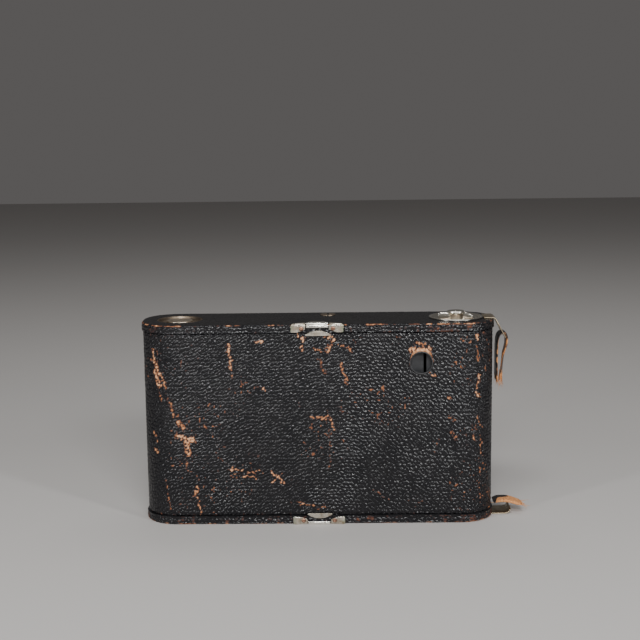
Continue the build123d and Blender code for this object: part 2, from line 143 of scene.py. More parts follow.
class Look:
    """One material. Its methods add a node and return the node's output socket."""

    def __init__(self, name):
        self.mat = bpy.data.materials.new(name)
        self.mat.use_nodes = True
        self.tree = self.mat.node_tree
        self.shader = self.tree.nodes["Principled BSDF"]

    def node(self, kind, **values):
        made = self.tree.nodes.new(kind)
        for key, value in values.items():
            if key in made.inputs:
                made.inputs[key].default_value = value
            else:
                setattr(made, key, value)
        return made

    def feed(self, value, socket):
        """Sets a socket to a number or a colour, or links it to another socket."""
        if isinstance(value, (int, float)):
            socket.default_value = value
        elif isinstance(value, tuple):
            socket.default_value = (*value, 1)
        else:
            self.tree.links.new(value, socket)

    def to(self, name, value):
        self.feed(value, self.shader.inputs[name])

    def attribute(self, name):
        return self.node("ShaderNodeAttribute", attribute_name=name).outputs["Fac"]

    def position(self):
        return self.node("ShaderNodeTexCoord").outputs["Object"]

    def noise(self, scale, detail, rough, stretch=None):
        source = self.position()
        if stretch:
            mapping = self.node("ShaderNodeMapping", Scale=stretch)
            self.feed(source, mapping.inputs["Vector"])
            source = mapping.outputs["Vector"]
        made = self.node("ShaderNodeTexNoise", Scale=scale, Detail=detail, Roughness=rough)
        self.feed(source, made.inputs["Vector"])
        return made.outputs["Fac"]

    def ramp(self, source, *stops):
        made = self.node("ShaderNodeValToRGB")
        self.feed(source, made.inputs["Fac"])
        band = made.color_ramp.elements
        for element, (place, colour) in ((band[0], stops[0]), (band[1], stops[-1])):
            element.position, element.color = place, (*grey(colour), 1)
        for place, colour in stops[1:-1]:
            band.new(place).color = (*grey(colour), 1)
        return made.outputs["Color"]

    def mix(self, factor, a, b):
        made = self.node("ShaderNodeMix", data_type="RGBA")
        for name, kind, value in (("Factor", "VALUE", factor), ("A", "RGBA", grey(a)), ("B", "RGBA", grey(b))):
            self.feed(value, next(s for s in made.inputs if s.name == name and s.type == kind))
        return next(s for s in made.outputs if s.type == "RGBA")

    def calc(self, operation, a, b=0.0, clamp=False):
        made = self.node("ShaderNodeMath", operation=operation, use_clamp=clamp)
        self.feed(a, made.inputs[0])
        self.feed(b, made.inputs[1])
        return made.outputs[0]

    def add(self, a, b, clamp=False):
        return self.calc("ADD", a, b, clamp)

    def mul(self, a, b):
        return self.calc("MULTIPLY", a, b)

    def about(self, source, middle, gain, clamp=False):
        """(source - middle) * gain"""
        return self.calc("MULTIPLY", self.calc("SUBTRACT", source, middle), gain, clamp)

    def bump(self, height, distance, strength=1.0, below=None):
        made = self.node("ShaderNodeBump", Strength=strength, Distance=distance)
        self.feed(height, made.inputs["Height"])
        if below is not None:
            self.feed(below, made.inputs["Normal"])
        self.to("Normal", made.outputs["Normal"])
        return made.outputs["Normal"]


# ------------------------------------------------------------------ numeric noise for the meshes
def hash01(i, j, k, seed):
    """Repeatable value from 0 to 1 for each whole-number cell."""
    n = (i * 374761393 + j * 668265263 + k * 2147483647 + seed * 974634777) & 0xFFFFFFFF
    n = ((n ^ (n >> 13)) * 1274126177) & 0xFFFFFFFF
    n = ((n ^ (n >> 16)) * 2246822519) & 0xFFFFFFFF
    return ((n ^ (n >> 15)) & 0xFFFFFF) / float(0xFFFFFF)


def value_noise(points, size, seed=0):
    """Smooth noise from 0 to 1 at points (n, 3), with lumps of about size."""
    p = np.asarray(points, float) / size
    base = np.floor(p).astype(np.int64)
    f = p - base
    f = f * f * (3 - 2 * f)
    total = np.zeros(len(p))
    near_far = (1 - f, f)
    for dx, dy, dz in product((0, 1), repeat=3):
        w = near_far[dx][:, 0] * near_far[dy][:, 1] * near_far[dz][:, 2]
        total += w * hash01(base[:, 0] + dx, base[:, 1] + dy, base[:, 2] + dz, seed)
    return total


def fractal(points, size, octaves=3, seed=0):
    total, weight, share = 0.0, 1.0, 0.0
    for octave in range(octaves):
        total = total + weight * value_noise(points, size / 2 ** octave, seed + octave * 17)
        share += weight
        weight *= 0.55
    return total / share


def flat_points(u, v, level=0):
    """Noise points for a flat sheet."""
    return np.stack([u, v, u * 0 + level], 1)


def smooth(low, high, value):
    t = np.clip((value - low) / (high - low), 0, 1)
    return t * t * (3 - 2 * t)


def pebbles(u, v, pitch, angle, stretch, seed=3):
    """Leather grain: 1 on the crown of each pebble, 0 in the creases between them."""
    cu, cv = u / pitch, v / (pitch * 0.86)
    row = np.floor(cv).astype(np.int64)
    best = np.full(len(cu), 9.0)
    second = np.full(len(cu), 9.0)
    ca, sa = np.cos(angle), np.sin(angle)
    for dj in (-2, -1, 0, 1, 2):
        j = row + dj
        shift = 0.5 * (j & 1)
        col = np.floor(cu - shift).astype(np.int64)
        for di in (-2, -1, 0, 1, 2):
            i = col + di
            px = i + 0.5 + shift + 0.62 * (hash01(i, j, 0, seed) - 0.5)
            py = j + 0.5 + 0.62 * (hash01(i, j, 7, seed) - 0.5)
            dx, dy = (cu - px) * pitch, (cv - py) * pitch * 0.86
            along = (dx * ca + dy * sa) / stretch
            across = (-dx * sa + dy * ca) * stretch
            size = 0.85 + 0.3 * hash01(i, j, 13, seed)
            d = np.sqrt(along * along + across * across) / size
            closer = d < best
            second = np.where(closer, best, np.minimum(second, d))
            best = np.where(closer, d, best)
    edge = (second - best) / (second + best)
    rise = np.clip(edge / 0.85, 0, 1)
    return np.sqrt(1 - (1 - rise) ** 2)


# ------------------------------------------------------------------ outline of the body
STRAIGHT = HALF_X - END_R
QUARTER = END_R * math.pi / 2
SIDE = 2 * (HALF_Y - END_R)
LAP = 4 * STRAIGHT + 4 * QUARTER + 2 * SIDE


def outline(s):
    """Points and outward normals along the body outline. s runs from the middle of the back towards +X."""
    s = np.mod(np.asarray(s, float), LAP)
    x, y, nx, ny = (np.zeros_like(s) for _ in range(4))
    cx, cy = STRAIGHT, HALF_Y - END_R
    cuts = np.cumsum([0, STRAIGHT, QUARTER, SIDE, QUARTER, 2 * STRAIGHT, QUARTER, SIDE, QUARTER, STRAIGHT])

    def line(k, start, step, normal):
        pick = (s >= cuts[k]) & (s <= cuts[k + 1])
        t = s[pick] - cuts[k]
        x[pick], y[pick] = start[0] + step[0] * t, start[1] + step[1] * t
        nx[pick], ny[pick] = normal

    def arc(k, centre, first):
        pick = (s >= cuts[k]) & (s <= cuts[k + 1])
        a = first + (s[pick] - cuts[k]) / END_R
        nx[pick], ny[pick] = np.cos(a), np.sin(a)
        x[pick], y[pick] = centre[0] + END_R * nx[pick], centre[1] + END_R * ny[pick]

    line(0, (0, -HALF_Y), (1, 0), (0, -1))
    arc(1, (cx, -cy), -math.pi / 2)
    line(2, (HALF_X, -cy), (0, 1), (1, 0))
    arc(3, (cx, cy), 0)
    line(4, (cx, HALF_Y), (-1, 0), (0, 1))
    arc(5, (-cx, cy), math.pi / 2)
    line(6, (-HALF_X, cy), (0, -1), (-1, 0))
    arc(7, (-cx, -cy), math.pi)
    line(8, (-cx, -HALF_Y), (1, 0), (0, -1))
    return np.stack([x, y], 1), np.stack([nx, ny], 1)


def s_of(x, y):
    """Outline length of a point near the body's side, signed from the middle of the back."""
    cx, cy = STRAIGHT, HALF_Y - END_R
    ax = np.abs(x)
    past = ax > cx
    turn = np.arctan2(ax - cx, -(y + cy))
    s = np.where(past, cx + END_R * np.clip(turn, 0, math.pi / 2), ax)
    s = np.where(past & (y > -cy), cx + QUARTER + np.minimum(y + cy, SIDE), s)
    turn = np.arctan2(y - cy, np.maximum(ax - cx, 1e-9))
    s = np.where(past & (y > cy), cx + QUARTER + SIDE + END_R * np.clip(turn, 0, math.pi / 2), s)
    s = np.where(~past & (y > 0), cx + 2 * QUARTER + SIDE + (cx - ax), s)
    return np.sign(x) * s


# ------------------------------------------------------------------ mesh helpers
def rect(x0, y0, x1, y1):
    return [(x0, y0), (x1, y0), (x1, y1), (x0, y1)]


def as_object(name, mesh, material, sharp=None):
    """Links a mesh to the scene, smooth-shaded up to the angle sharp if there is one."""
    obj = bpy.data.objects.new(name, mesh)
    bpy.context.scene.collection.objects.link(obj)
    mesh.materials.append(material)
    if sharp:
        mesh.shade_smooth()
        mesh.set_sharp_from_angle(angle=math.radians(sharp))
    return obj


def attach(obj, body, slot, replaced):
    """A piece rides on a body and may stand for CAD nodes."""
    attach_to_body(obj, body)
    if replaced:
        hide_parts(*replaced)
    return obj


def add_piece(name, verts, faces, material, body, slot, replaced):
    mesh = bpy.data.meshes.new(name)
    mesh.from_pydata((np.asarray(verts, float) * MM).tolist(), [], faces)
    mesh.validate()
    return attach(as_object(name, mesh, material, 72), body, slot, replaced)


def fix_normals(mesh):
    bm = bmesh.new()
    bm.from_mesh(mesh)
    bmesh.ops.recalc_face_normals(bm, faces=bm.faces)
    bm.to_mesh(mesh)
    bm.free()


def set_attribute(obj, name, values):
    layer = obj.data.attributes.new(name, "FLOAT", "POINT")
    layer.data.foreach_set("value", np.asarray(values, np.float32))


def grid_faces(rows, columns, start=0):
    """Quads of a grid whose last column joins the first."""
    faces = []
    for r in range(rows - 1):
        a, b = start + r * columns, start + (r + 1) * columns
        for c in range(columns):
            d = (c + 1) % columns
            faces.append((a + c, a + d, b + d, b + c))
    return faces


def paint(material, *names):
    for name in names:
        mesh = nodes[name].data
        mesh.materials.clear()
        mesh.materials.append(material)


def clip_grid(us, vs, inside, snap):
    """Quads kept where inside(u, v) holds, with the border vertices moved onto the true edge."""
    cols, rows = len(us), len(vs)
    uu, vv = np.meshgrid(us, vs)
    mid_u, mid_v = np.meshgrid((us[:-1] + us[1:]) / 2, (vs[:-1] + vs[1:]) / 2)
    keep = inside(mid_u.ravel(), mid_v.ravel())
    base = (np.arange(rows - 1)[:, None] * cols + np.arange(cols - 1)[None, :]).ravel()[keep]
    quads = np.stack([base, base + 1, base + cols + 1, base + cols], 1)
    edges = np.concatenate([quads[:, [k, (k + 1) % 4]] for k in range(4)])
    count = rows * cols
    border = edges[~np.isin(edges[:, 0] * count + edges[:, 1], edges[:, 1] * count + edges[:, 0])]
    uv = np.stack([uu.ravel(), vv.ravel()], 1)
    rim = np.unique(border)
    uv[rim] = snap(uv[rim])
    used = np.unique(quads)
    index = np.full(count, -1)
    index[used] = np.arange(len(used))
    return uv[used], index[quads], index[border]


def snap_circle(uv, centre, radius, reach):
    """Moves the points within reach of a round hole's centre onto its edge."""
    d = uv - np.array(centre)
    r = np.hypot(d[:, 0], d[:, 1])
    near = r < reach
    uv[near] = np.array(centre) + d[near] / r[near, None] * radius
    return uv


def hidden_skin(rim_uv, rim_edges, inside, gap):
    """Coarse triangles for the hidden side. Returns extra points and faces over rim + extra."""
    low, high = rim_uv.min(0), rim_uv.max(0)
    gu, gv = np.meshgrid(np.arange(low[0] + gap / 2, high[0], gap), np.arange(low[1] + gap / 2, high[1], gap))
    extra = np.stack([gu.ravel(), gv.ravel()], 1)
    extra = extra[inside(extra[:, 0], extra[:, 1])]
    near = np.array([np.min(np.hypot(*(rim_uv - p).T)) for p in extra])
    extra = extra[near > gap * 0.3]
    points = np.concatenate([rim_uv, extra])
    made = delaunay_2d_cdt([Vector(p) for p in points], [tuple(map(int, e)) for e in rim_edges], [], 1, 1e-7)
    first = [source[0] for source in made[3]]
    faces = []
    for tri in made[2]:
        centre = np.mean([made[0][i][:] for i in tri], axis=0)
        if inside(centre[:1], centre[1:])[0]:
            faces.append(tuple(first[i] for i in tri))
    return extra, faces


def add_leather(name, node_name, body, material, verts, faces, wear, peb):
    """Leather piece with its wear and grain; the hidden vertices at the end get plain values."""
    obj = add_piece(name, verts, [tuple(int(i) for i in f) for f in faces], material, body, LEATHER, (node_name,))
    pad = len(verts) - len(wear)
    set_attribute(obj, "wear", np.concatenate([wear, np.zeros(pad)]))
    set_attribute(obj, "peb", np.concatenate([peb, np.full(pad, 0.5)]))


def add_sheet(name, node_name, body, material, us, vs, inside, snap, place, thick, relief, flip=False):
    """Closed leather sheet over a parameter grid: relief outside, coarse skin inside.

    place(u, v, depth) gives a point and relief(u, v, rim) gives depth, wear and grain."""
    uv, quads, border = clip_grid(us, vs, inside, snap)
    rim = np.unique(border)
    local = np.full(len(uv), -1)
    local[rim] = np.arange(len(rim))
    extra, tris = hidden_skin(uv[rim], local[border], inside, 4.0)
    drop, wear, peb = relief(uv[:, 0], uv[:, 1], rim)
    outer = place(uv[:, 0], uv[:, 1], drop)
    back_uv = np.concatenate([uv[rim], extra])
    inner = place(back_uv[:, 0], back_uv[:, 1], np.full(len(back_uv), thick))
    start = len(uv)
    faces = [tuple(q) for q in quads.tolist()]
    faces += [(b, a, start + local[a], start + local[b]) for a, b in border.tolist()]
    faces += [tuple(start + i for i in reversed(t)) for t in tris]
    if flip:
        faces = [tuple(reversed(f)) for f in faces]
    add_leather(name, node_name, body, material, np.concatenate([outer, inner]), faces, wear, peb)


def on_side(s, z, depth):
    """Point of a leather around the case's side, a depth below its face."""
    p, n = outline(s)
    return np.column_stack([p - n * (COVER_INSET + depth)[:, None], z])


# ------------------------------------------------------------------ scuffs of the cover, in mm
def along(x):
    """Outline length at the back for a given x."""
    over = min(max(abs(x) - STRAIGHT, 0) / END_R, 1)
    return math.copysign(min(abs(x), STRAIGHT) + END_R * math.asin(over), x)


# worn strokes: x and z of both ends, half width, strength
SCUFFS = (
    (-47.8, 99, -47.2, 92, 1.1, 1.0), (-47.2, 92, -46.0, 83, 0.9, 0.85), (-34.5, 102, -30, 102, 0.9, 1.0),
    (-89.5, 97, -88, 87, 0.9, 1.0), (-88, 90, -85.5, 84, 1.0, 0.9), (-88.5, 85, -86.5, 78, 1.3, 1.0),
    (-85, 83, -83, 78, 1.2, 0.9), (-87, 77, -85.5, 70, 0.8, 0.6), (-81, 68, -78, 61, 1.1, 0.7),
    (-76, 58, -73, 54, 1.4, 0.8), (-76, 50, -69, 48, 1.7, 1.0), (-72, 48, -71, 40, 1.7, 0.9),
    (-91, 52, -89, 47, 0.7, 0.8), (-90, 42, -88, 40, 1.0, 0.9), (-72, 36, -72, 30, 0.8, 0.7),
    (-67, 21, -64.5, 6, 0.8, 0.85), (-60, 16, -58, 12, 0.6, 0.5), (-47, 31, -31, 29.5, 0.55, 0.95),
    (-46, 28, -33, 25.5, 0.5, 0.85), (-26, 29, -19, 23, 0.8, 0.95), (-25, 24, -20, 28.5, 0.6, 0.9),
    (-15, 12, 3, 9.5, 0.5, 0.8), (-30, 77, -29, 75.5, 1.0, 0.9), (-8.6, 105, -8.4, 97, 0.8, 1.0),
    (-10, 105, -7, 104, 0.8, 1.0), (3, 105, 9, 103, 1.0, 1.0), (8, 102, 5, 96, 1.3, 0.8),
    (11, 100, 18, 97, 0.7, 0.8), (-2, 98, 2, 96, 0.8, 0.75), (12.5, 90, 15.5, 79, 0.9, 0.7),
    (-4, 59.5, 5, 59.5, 0.7, 0.8), (5, 64, 8.5, 53, 0.8, 0.85), (6, 53, 6, 30, 0.5, 0.45),
    (1, 92, 4, 84, 0.9, 0.5), (50, 96.5, 60.5, 96.8, 1.3, 1.0), (52, 99, 57, 100, 1.0, 0.8),
    (60, 83.5, 63, 83, 0.7, 0.9), (45.5, 92, 47, 91, 0.7, 0.9), (86, 104, 87, 102, 1.3, 1.0),
    (86.5, 97, 87.5, 89, 0.8, 0.6), (88, 82, 87, 75, 0.9, 0.9), (85, 73, 88, 70, 1.0, 0.95),
    (70, 70, 70.5, 69.5, 0.9, 1.0), (71, 60, 74, 57, 1.0, 0.6), (86, 60, 90, 52, 0.7, 0.7),
    (89, 48, 89.5, 38, 0.6, 0.75), (83, 52, 86, 54, 0.8, 0.6), (72, 51, 75, 47, 0.9, 0.6),
    (84, 48, 85, 46, 0.8, 0.8), (88, 30, 89, 12, 0.6, 0.6), (30, 19, 38, 14, 0.6, 0.5),
    (48, 13, 60, 11, 0.5, 0.5), (-56, 40, -52, 36, 0.7, 0.5), (-12, 70, -9, 66, 0.6, 0.45),
    (-84, 25, -82, 8, 0.7, 0.6),
)


def scuff_mask(s, z):
    """Strokes of the table, bent by noise."""
    points = flat_points(s, z)
    ws = s + 2.4 * (fractal(points, 3.4, 2, 21) - 0.5) + 1.2 * (value_noise(points, 1.1, 27) - 0.5)
    wz = z + 3.0 * (fractal(points, 3.0, 2, 33) - 0.5) + 1.2 * (value_noise(points, 1.0, 39) - 0.5)
    total = np.zeros(len(s))
    for x0, z0, x1, z1, half, strength in SCUFFS:
        a, b = np.array([along(x0), z0]), np.array([along(x1), z1])
        d = b - a
        t = np.clip(((ws - a[0]) * d[0] + (wz - a[1]) * d[1]) / max(d @ d, 1e-6), 0, 1)
        gap = np.hypot(ws - a[0] - t * d[0], wz - a[1] - t * d[1])
        total = np.maximum(total, strength * (1 - smooth(0.1 * half, 1.75 * half, gap)))
    return total


def grain_angle(s, z):
    """Direction of the grain: up to the right on the left half, down to the right on the right part."""
    sway = fractal(flat_points(s, z, 5), 38, 2, 45) - 0.5
    return np.radians(48 - 100 * smooth(-2, 36, s - 0.25 * (z - 55)) + 50 * sway)


def grain(u, v, angle, seed=3):
    points = flat_points(u, v, seed)
    big = pebbles(u, v, 2.3, angle, 1.45, seed)
    small = pebbles(u + 40, v + 40, 1.25, angle, 1.2, seed + 9)
    patch = smooth(0.42, 0.62, fractal(points, 16, 2, 51))
    return big * (0.84 + 0.16 * small) * (0.80 + 0.20 * patch)


def cover_relief(s, z, rim):
    peb = grain(s, z, grain_angle(s, z))
    scuff = scuff_mask(s, z)
    points = flat_points(s, z)
    specks = smooth(0.80, 0.92, value_noise(points, 1.15, 61)) * smooth(0.45, 0.7, fractal(points, 22, 2, 63))
    flecks = value_noise(points, 0.95, 65)
    scuff = scuff * smooth(0.30, 0.62, 0.80 * peb + 0.62 * flecks * (0.6 + 0.5 * scuff) - 0.20)
    bend = smooth(STRAIGHT + 4, STRAIGHT + 17, np.abs(s))
    low_edge = smooth(9, 5, z) + smooth(103.0, 106, z)
    chafe = 0.75 * smooth(0.60, 0.80, fractal(points, 2.6, 2, 67)) * np.clip(0.35 * bend + 0.55 * low_edge, 0, 1)
    # bare ring around the window, widest above it
    window_gap = np.hypot(s - WINDOW[0], z - WINDOW[1])
    up = (z - WINDOW[1]) / np.maximum(window_gap, 1e-6)
    reach = 6.9 + 1.5 * smooth(0.5, 0.95, up) + 0.8 * (value_noise(points, 1.8, 69) - 0.5)
    ring = smooth(reach, reach - 0.7, window_gap) * (0.25 + 0.75 * smooth(-0.5, 0.6, up))
    wear = np.clip(np.maximum.reduce([scuff, 0.55 * specks, chafe * (0.4 + 0.6 * flecks), 0.8 * ring]), 0, 1)
    wave = 0.10 * (fractal(points, 13, 2, 71) - 0.5)
    drop = 0.03 + 0.50 * (1 - peb) * (1 - 0.35 * wear) + 0.05 * wear + wave * 0.5
    # the two halves meet at s = 0 without a turned edge
    true_edge = rim[np.abs(s[rim]) > 0.01]
    drop[true_edge] += 0.12
    drop += 0.16 * smooth(0.9, 0.0, np.minimum(z - COVER_LOW, COVER_HIGH - z))
    return np.minimum(drop, 0.7), wear, peb


def make_cover(material):
    s_end = STRAIGHT + QUARTER + 6.75 - 0.02
    for name, low, high in (("cover_leather_left", -s_end, 0), ("cover_leather_right", 0, s_end)):
        add_sheet(name, "cover_leather", "back_cover", material,
                  np.linspace(low, high, 287), np.linspace(COVER_LOW, COVER_HIGH, 253),
                  lambda u, v: np.hypot(u - WINDOW[0], v - WINDOW[1]) > WINDOW_HOLE,
                  lambda uv: snap_circle(uv, WINDOW, WINDOW_HOLE, WINDOW_HOLE + 1.0),
                  on_side, SHEET, cover_relief)


# ------------------------------------------------------------------ caps: top and bottom leathers
def to_outline(uv, gap):
    """Nearest core point, direction from it, and distance past the outline moved in by gap."""
    core = np.column_stack([np.clip(uv[:, 0], -STRAIGHT, STRAIGHT),
                            np.clip(uv[:, 1], -(HALF_Y - END_R), HALF_Y - END_R)])
    away = uv - core
    size = np.maximum(np.hypot(away[:, 0], away[:, 1]), 1e-9)
    return core, away / size[:, None], size - (END_R - gap)


def make_cap(name, node_name, top, holes, material):
    """Leather cap: pebbled face, worn rounded edge and rim wall, with round holes (x, y, radius)."""
    fillet, step = 1.1, 0.5
    wall = HEIGHT - RIM_TOP

    def clear(u, v, edge, slack):
        keep = to_outline(np.column_stack([u, v]), edge)[2] < slack
        for hx, hy, hr in holes:
            keep &= np.hypot(u - hx, v - hy) > hr
        return keep

    def snap(uv):
        core, normal, gap = to_outline(uv, fillet)
        out = core + normal * (END_R - fillet)
        best = np.abs(gap)
        for hx, hy, hr in holes:
            d = uv - np.array([hx, hy])
            r = np.hypot(d[:, 0], d[:, 1])
            closer = np.abs(r - hr) < best
            out[closer] = np.array([hx, hy]) + d[closer] / r[closer, None] * hr
            best = np.where(closer, np.abs(r - hr), best)
        return out

    uv, quads, border = clip_grid(np.arange(-HALF_X, HALF_X + step, step), np.arange(-HALF_Y, HALF_Y + step, step),
                                  lambda u, v: clear(u, v, fillet, 0.1), snap)
    core, normal, gap = to_outline(uv, fillet)
    outer = np.abs(gap) < 1e-3
    rim = np.unique(border)
    ring, holes_rim = rim[outer[rim]], rim[~outer[rim]]
    # rings down the rounded edge and the wall: inset, drop, and the normal's two parts
    rows = [(fillet * (1 - math.sin(a)), fillet * (1 - math.cos(a)), math.sin(a), math.cos(a))
            for a in np.radians(np.arange(15, 91, 15))]
    rows += [(0.0, d, 1.0, 0.0) for d in np.linspace(fillet, wall, 10)[1:]]
    pos = [np.column_stack([uv, np.zeros(len(uv))])]
    nrm = [np.tile([0, 0, 1.0], (len(uv), 1))]
    par = [uv.copy()]
    s_ring = s_of(uv[ring, 0], uv[ring, 1])
    for inset, drop, side, up in rows:
        flat = core[ring] + normal[ring] * (END_R - inset)
        pos.append(np.column_stack([flat, np.full(len(ring), -drop)]))
        nrm.append(np.column_stack([normal[ring] * side, np.full(len(ring), up)]))
        par.append(np.column_stack([s_ring, np.full(len(ring), 300.0 - drop)]))
    pos, nrm, par = map(np.concatenate, (pos, nrm, par))
    # grain and wear
    angle = np.radians(20 + 50 * (fractal(flat_points(*par.T), 30, 2, 81) - 0.5))
    peb = grain(par[:, 0], par[:, 1], angle, 3 if top else 8)
    worn = worn_rim(pos, top)
    edge = np.clip(1 - np.abs(nrm[:, 2] - 0.72) / 0.5, 0, 1) * (np.abs(nrm[:, 2]) < 0.999)
    flecks = value_noise(pos, 0.9, 87)
    broken = smooth(0.30, 0.66, 0.5 * peb + 0.75 * flecks - 0.05)
    wear = np.clip(worn * (0.38 + 0.62 * edge) * (0.25 + 0.75 * broken) + 0.16 * edge * flecks, 0, 1)
    near_rim = smooth(2.2, 0.2, -to_outline(pos[:, :2], fillet)[2])
    wear = np.where(nrm[:, 2] > 0.999, worn * near_rim * 0.5 * broken, wear)
    flat_top = smooth(0.9, 1.0, nrm[:, 2])
    deep = 0.40 - 0.26 * flat_top
    drop = 0.02 + deep * (1 - peb) * (1 - 0.5 * edge) + 0.05 * fractal(pos, 7, 2, 85) + 0.05 * wear
    pos = pos - nrm * drop[:, None]
    if not top:
        # room for the lower lug
        notch = (pos[:, 0] > 91.1) & (np.abs(pos[:, 1]) < 7.1) & (pos[:, 2] > -0.65)
        pos[notch, 2] = -0.65
    # faces of the outside
    faces = [tuple(q) for q in quads.tolist()]
    local = np.full(len(uv), -1)
    local[ring] = np.arange(len(ring))
    outer_edges = [(a, b) for a, b in border.tolist() if outer[a] and outer[b]]
    hole_edges = [(a, b) for a, b in border.tolist() if not (outer[a] and outer[b])]
    base, size = len(uv), len(ring)
    for k in range(len(rows)):
        for a, b in outer_edges:
            up_a, up_b = (a, b) if k == 0 else (base + (k - 1) * size + local[a], base + (k - 1) * size + local[b])
            faces.append((up_b, up_a, base + k * size + local[a], base + k * size + local[b]))
    # hidden inside
    last, start_low = base + (len(rows) - 1) * size, len(pos)
    start_top = start_low + size
    inner_ring = core[ring] + normal[ring] * (END_R - SKIN)
    back_rim = np.concatenate([inner_ring, uv[holes_rim]])
    where = np.full(len(uv), -1)
    where[ring] = np.arange(size)
    where[holes_rim] = size + np.arange(len(holes_rim))
    edges = [(where[a], where[b]) for a, b in border.tolist()]
    extra, tris = hidden_skin(back_rim, edges, lambda u, v: clear(u, v, SKIN, 0), 6.0)
    hidden = np.concatenate([back_rim, extra])
    for a, b in outer_edges:
        la, lb = local[a], local[b]
        faces.append((last + lb, last + la, start_low + la, start_low + lb))
        faces.append((start_low + lb, start_low + la, start_top + la, start_top + lb))
    for a, b in hole_edges:
        faces.append((b, a, start_top + where[a], start_top + where[b]))
    faces += [tuple(start_top + i for i in reversed(t)) for t in tris]
    verts = np.concatenate([pos, np.column_stack([inner_ring, np.full(size, -wall)]),
                            np.column_stack([hidden, np.full(len(hidden), -SKIN)])])
    if top:
        verts[:, 2] += HEIGHT
    else:
        verts[:, 2] *= -1
        faces = [tuple(reversed(f)) for f in faces]
    # painted shade: the grain value passed on is lowered on the flat face, which pulls its base colour towards the
    # painted crease shade and roughens it, so the flat face is painted darker than the rounded edge and the wall
    add_leather(name, node_name, "case", material, verts, faces, wear, peb * (1 - 0.55 * flat_top))


def worn_rim(points, top):
    """How worn the rim is around the body, 0 to 1, before the grain breaks it up."""
    x, back = points[:, 0], points[:, 1] < 0
    n = fractal(points, 3.0, 3, 91 if top else 95)
    coarse = fractal(points, 17, 2, 97)
    level = np.full(len(x), 0.46)
    if top:
        for low, high, gain in ((-34, -15, 0.16), (15, 28, 0.10), (28, 60, 0.18), (60, 82, 0.34),
                                (-97, -84, 0.22), (82, 97, 0.14)):
            level = level + gain * smooth(low - 3, low + 2, x) * smooth(high + 3, high - 2, x) * back
    else:
        level = level + 0.20 * back + 0.12 * smooth(20, 80, x)
    return smooth(0.60, 0.95, n * 0.75 + level * 0.55 + 0.25 * (coarse - 0.5))


# ------------------------------------------------------------------ wall and bed leathers
def flat_relief(seed):
    def relief(u, v, rim):
        points = flat_points(u, v, seed)
        angle = np.radians(30 + 70 * (fractal(points, 34, 2, 101) - 0.5))
        peb = grain(u, v, angle, seed)
        scuff = smooth(0.60, 0.80, fractal(points, 3.2, 3, 103)) * smooth(0.5, 0.66, fractal(points, 21, 2, 105))
        drop = 0.03 + 0.34 * (1 - peb) + 0.05 * fractal(points, 9, 2, 107)
        drop[rim] += 0.16
        border_wear = np.zeros(len(u))
        border_wear[rim] = 0.7
        border_wear = border_wear * smooth(0.4, 0.6, value_noise(points, 3, 109))
        return drop, np.clip(np.maximum(scuff * 0.9, border_wear), 0, 1), peb
    return relief


def make_walls(material):
    low, high = box_mm("wall_leathers")
    start = STRAIGHT + QUARTER + 3.9 + HALF_Y - END_R
    front = STRAIGHT + 2 * QUARTER + SIDE + STRAIGHT      # s at the middle of the front
    button, hole_r = (front - 66.0, MIDDLE), 3.35
    end_right, end_left = 59.0, 62.2                      # distance from the middle where they end in front
    for name, s0, s1 in (("wall_leather_right", start, front - end_right),
                         ("wall_leather_left", end_left - front, -start)):
        add_sheet(name, "wall_leathers", "case", material,
                  np.linspace(s0, s1, int((s1 - s0) / 0.55)), np.linspace(low[2] + 0.02, high[2] - 0.02, 186),
                  lambda u, v: np.hypot(u - button[0], v - button[1]) > hole_r,
                  lambda uv: snap_circle(uv, button, hole_r, 4.2), on_side, SHEET, flat_relief(17))


def make_bed_leather(material):
    low, high = box_mm("bed_leather")
    leg = (15.0, 53.1, MIDDLE - 8.4, MIDDLE + 8.4)        # opening around the leg: u from, to, v from, to
    bush_r = 5.0

    def in_leg(u, v, more=0.0):
        return (u > leg[0] - more) & (u < leg[1] + more) & (v > leg[2] - more) & (v < leg[3] + more)

    def snap(uv):
        out = snap_circle(uv.copy(), (0, MIDDLE), bush_r, 6)
        near = np.hypot(uv[:, 0], uv[:, 1] - MIDDLE) < 6
        for k, line in ((0, leg[0]), (0, leg[1]), (1, leg[2]), (1, leg[3])):
            close = in_leg(uv[:, 0], uv[:, 1], 0.5) & (np.abs(uv[:, k] - line) < 0.45) & ~near
            out[close, k] = line
        return out

    add_sheet("bed_leather_skin", "bed_leather", "bed", material,
              np.linspace(low[0], high[0], 212), np.linspace(low[2], high[2], 184),
              lambda u, v: ~in_leg(u, v) & (np.hypot(u, v - MIDDLE) > bush_r), snap,
              lambda u, v, depth: np.column_stack([u, high[1] - depth, v]), high[1] - low[1],
              flat_relief(29), flip=True)


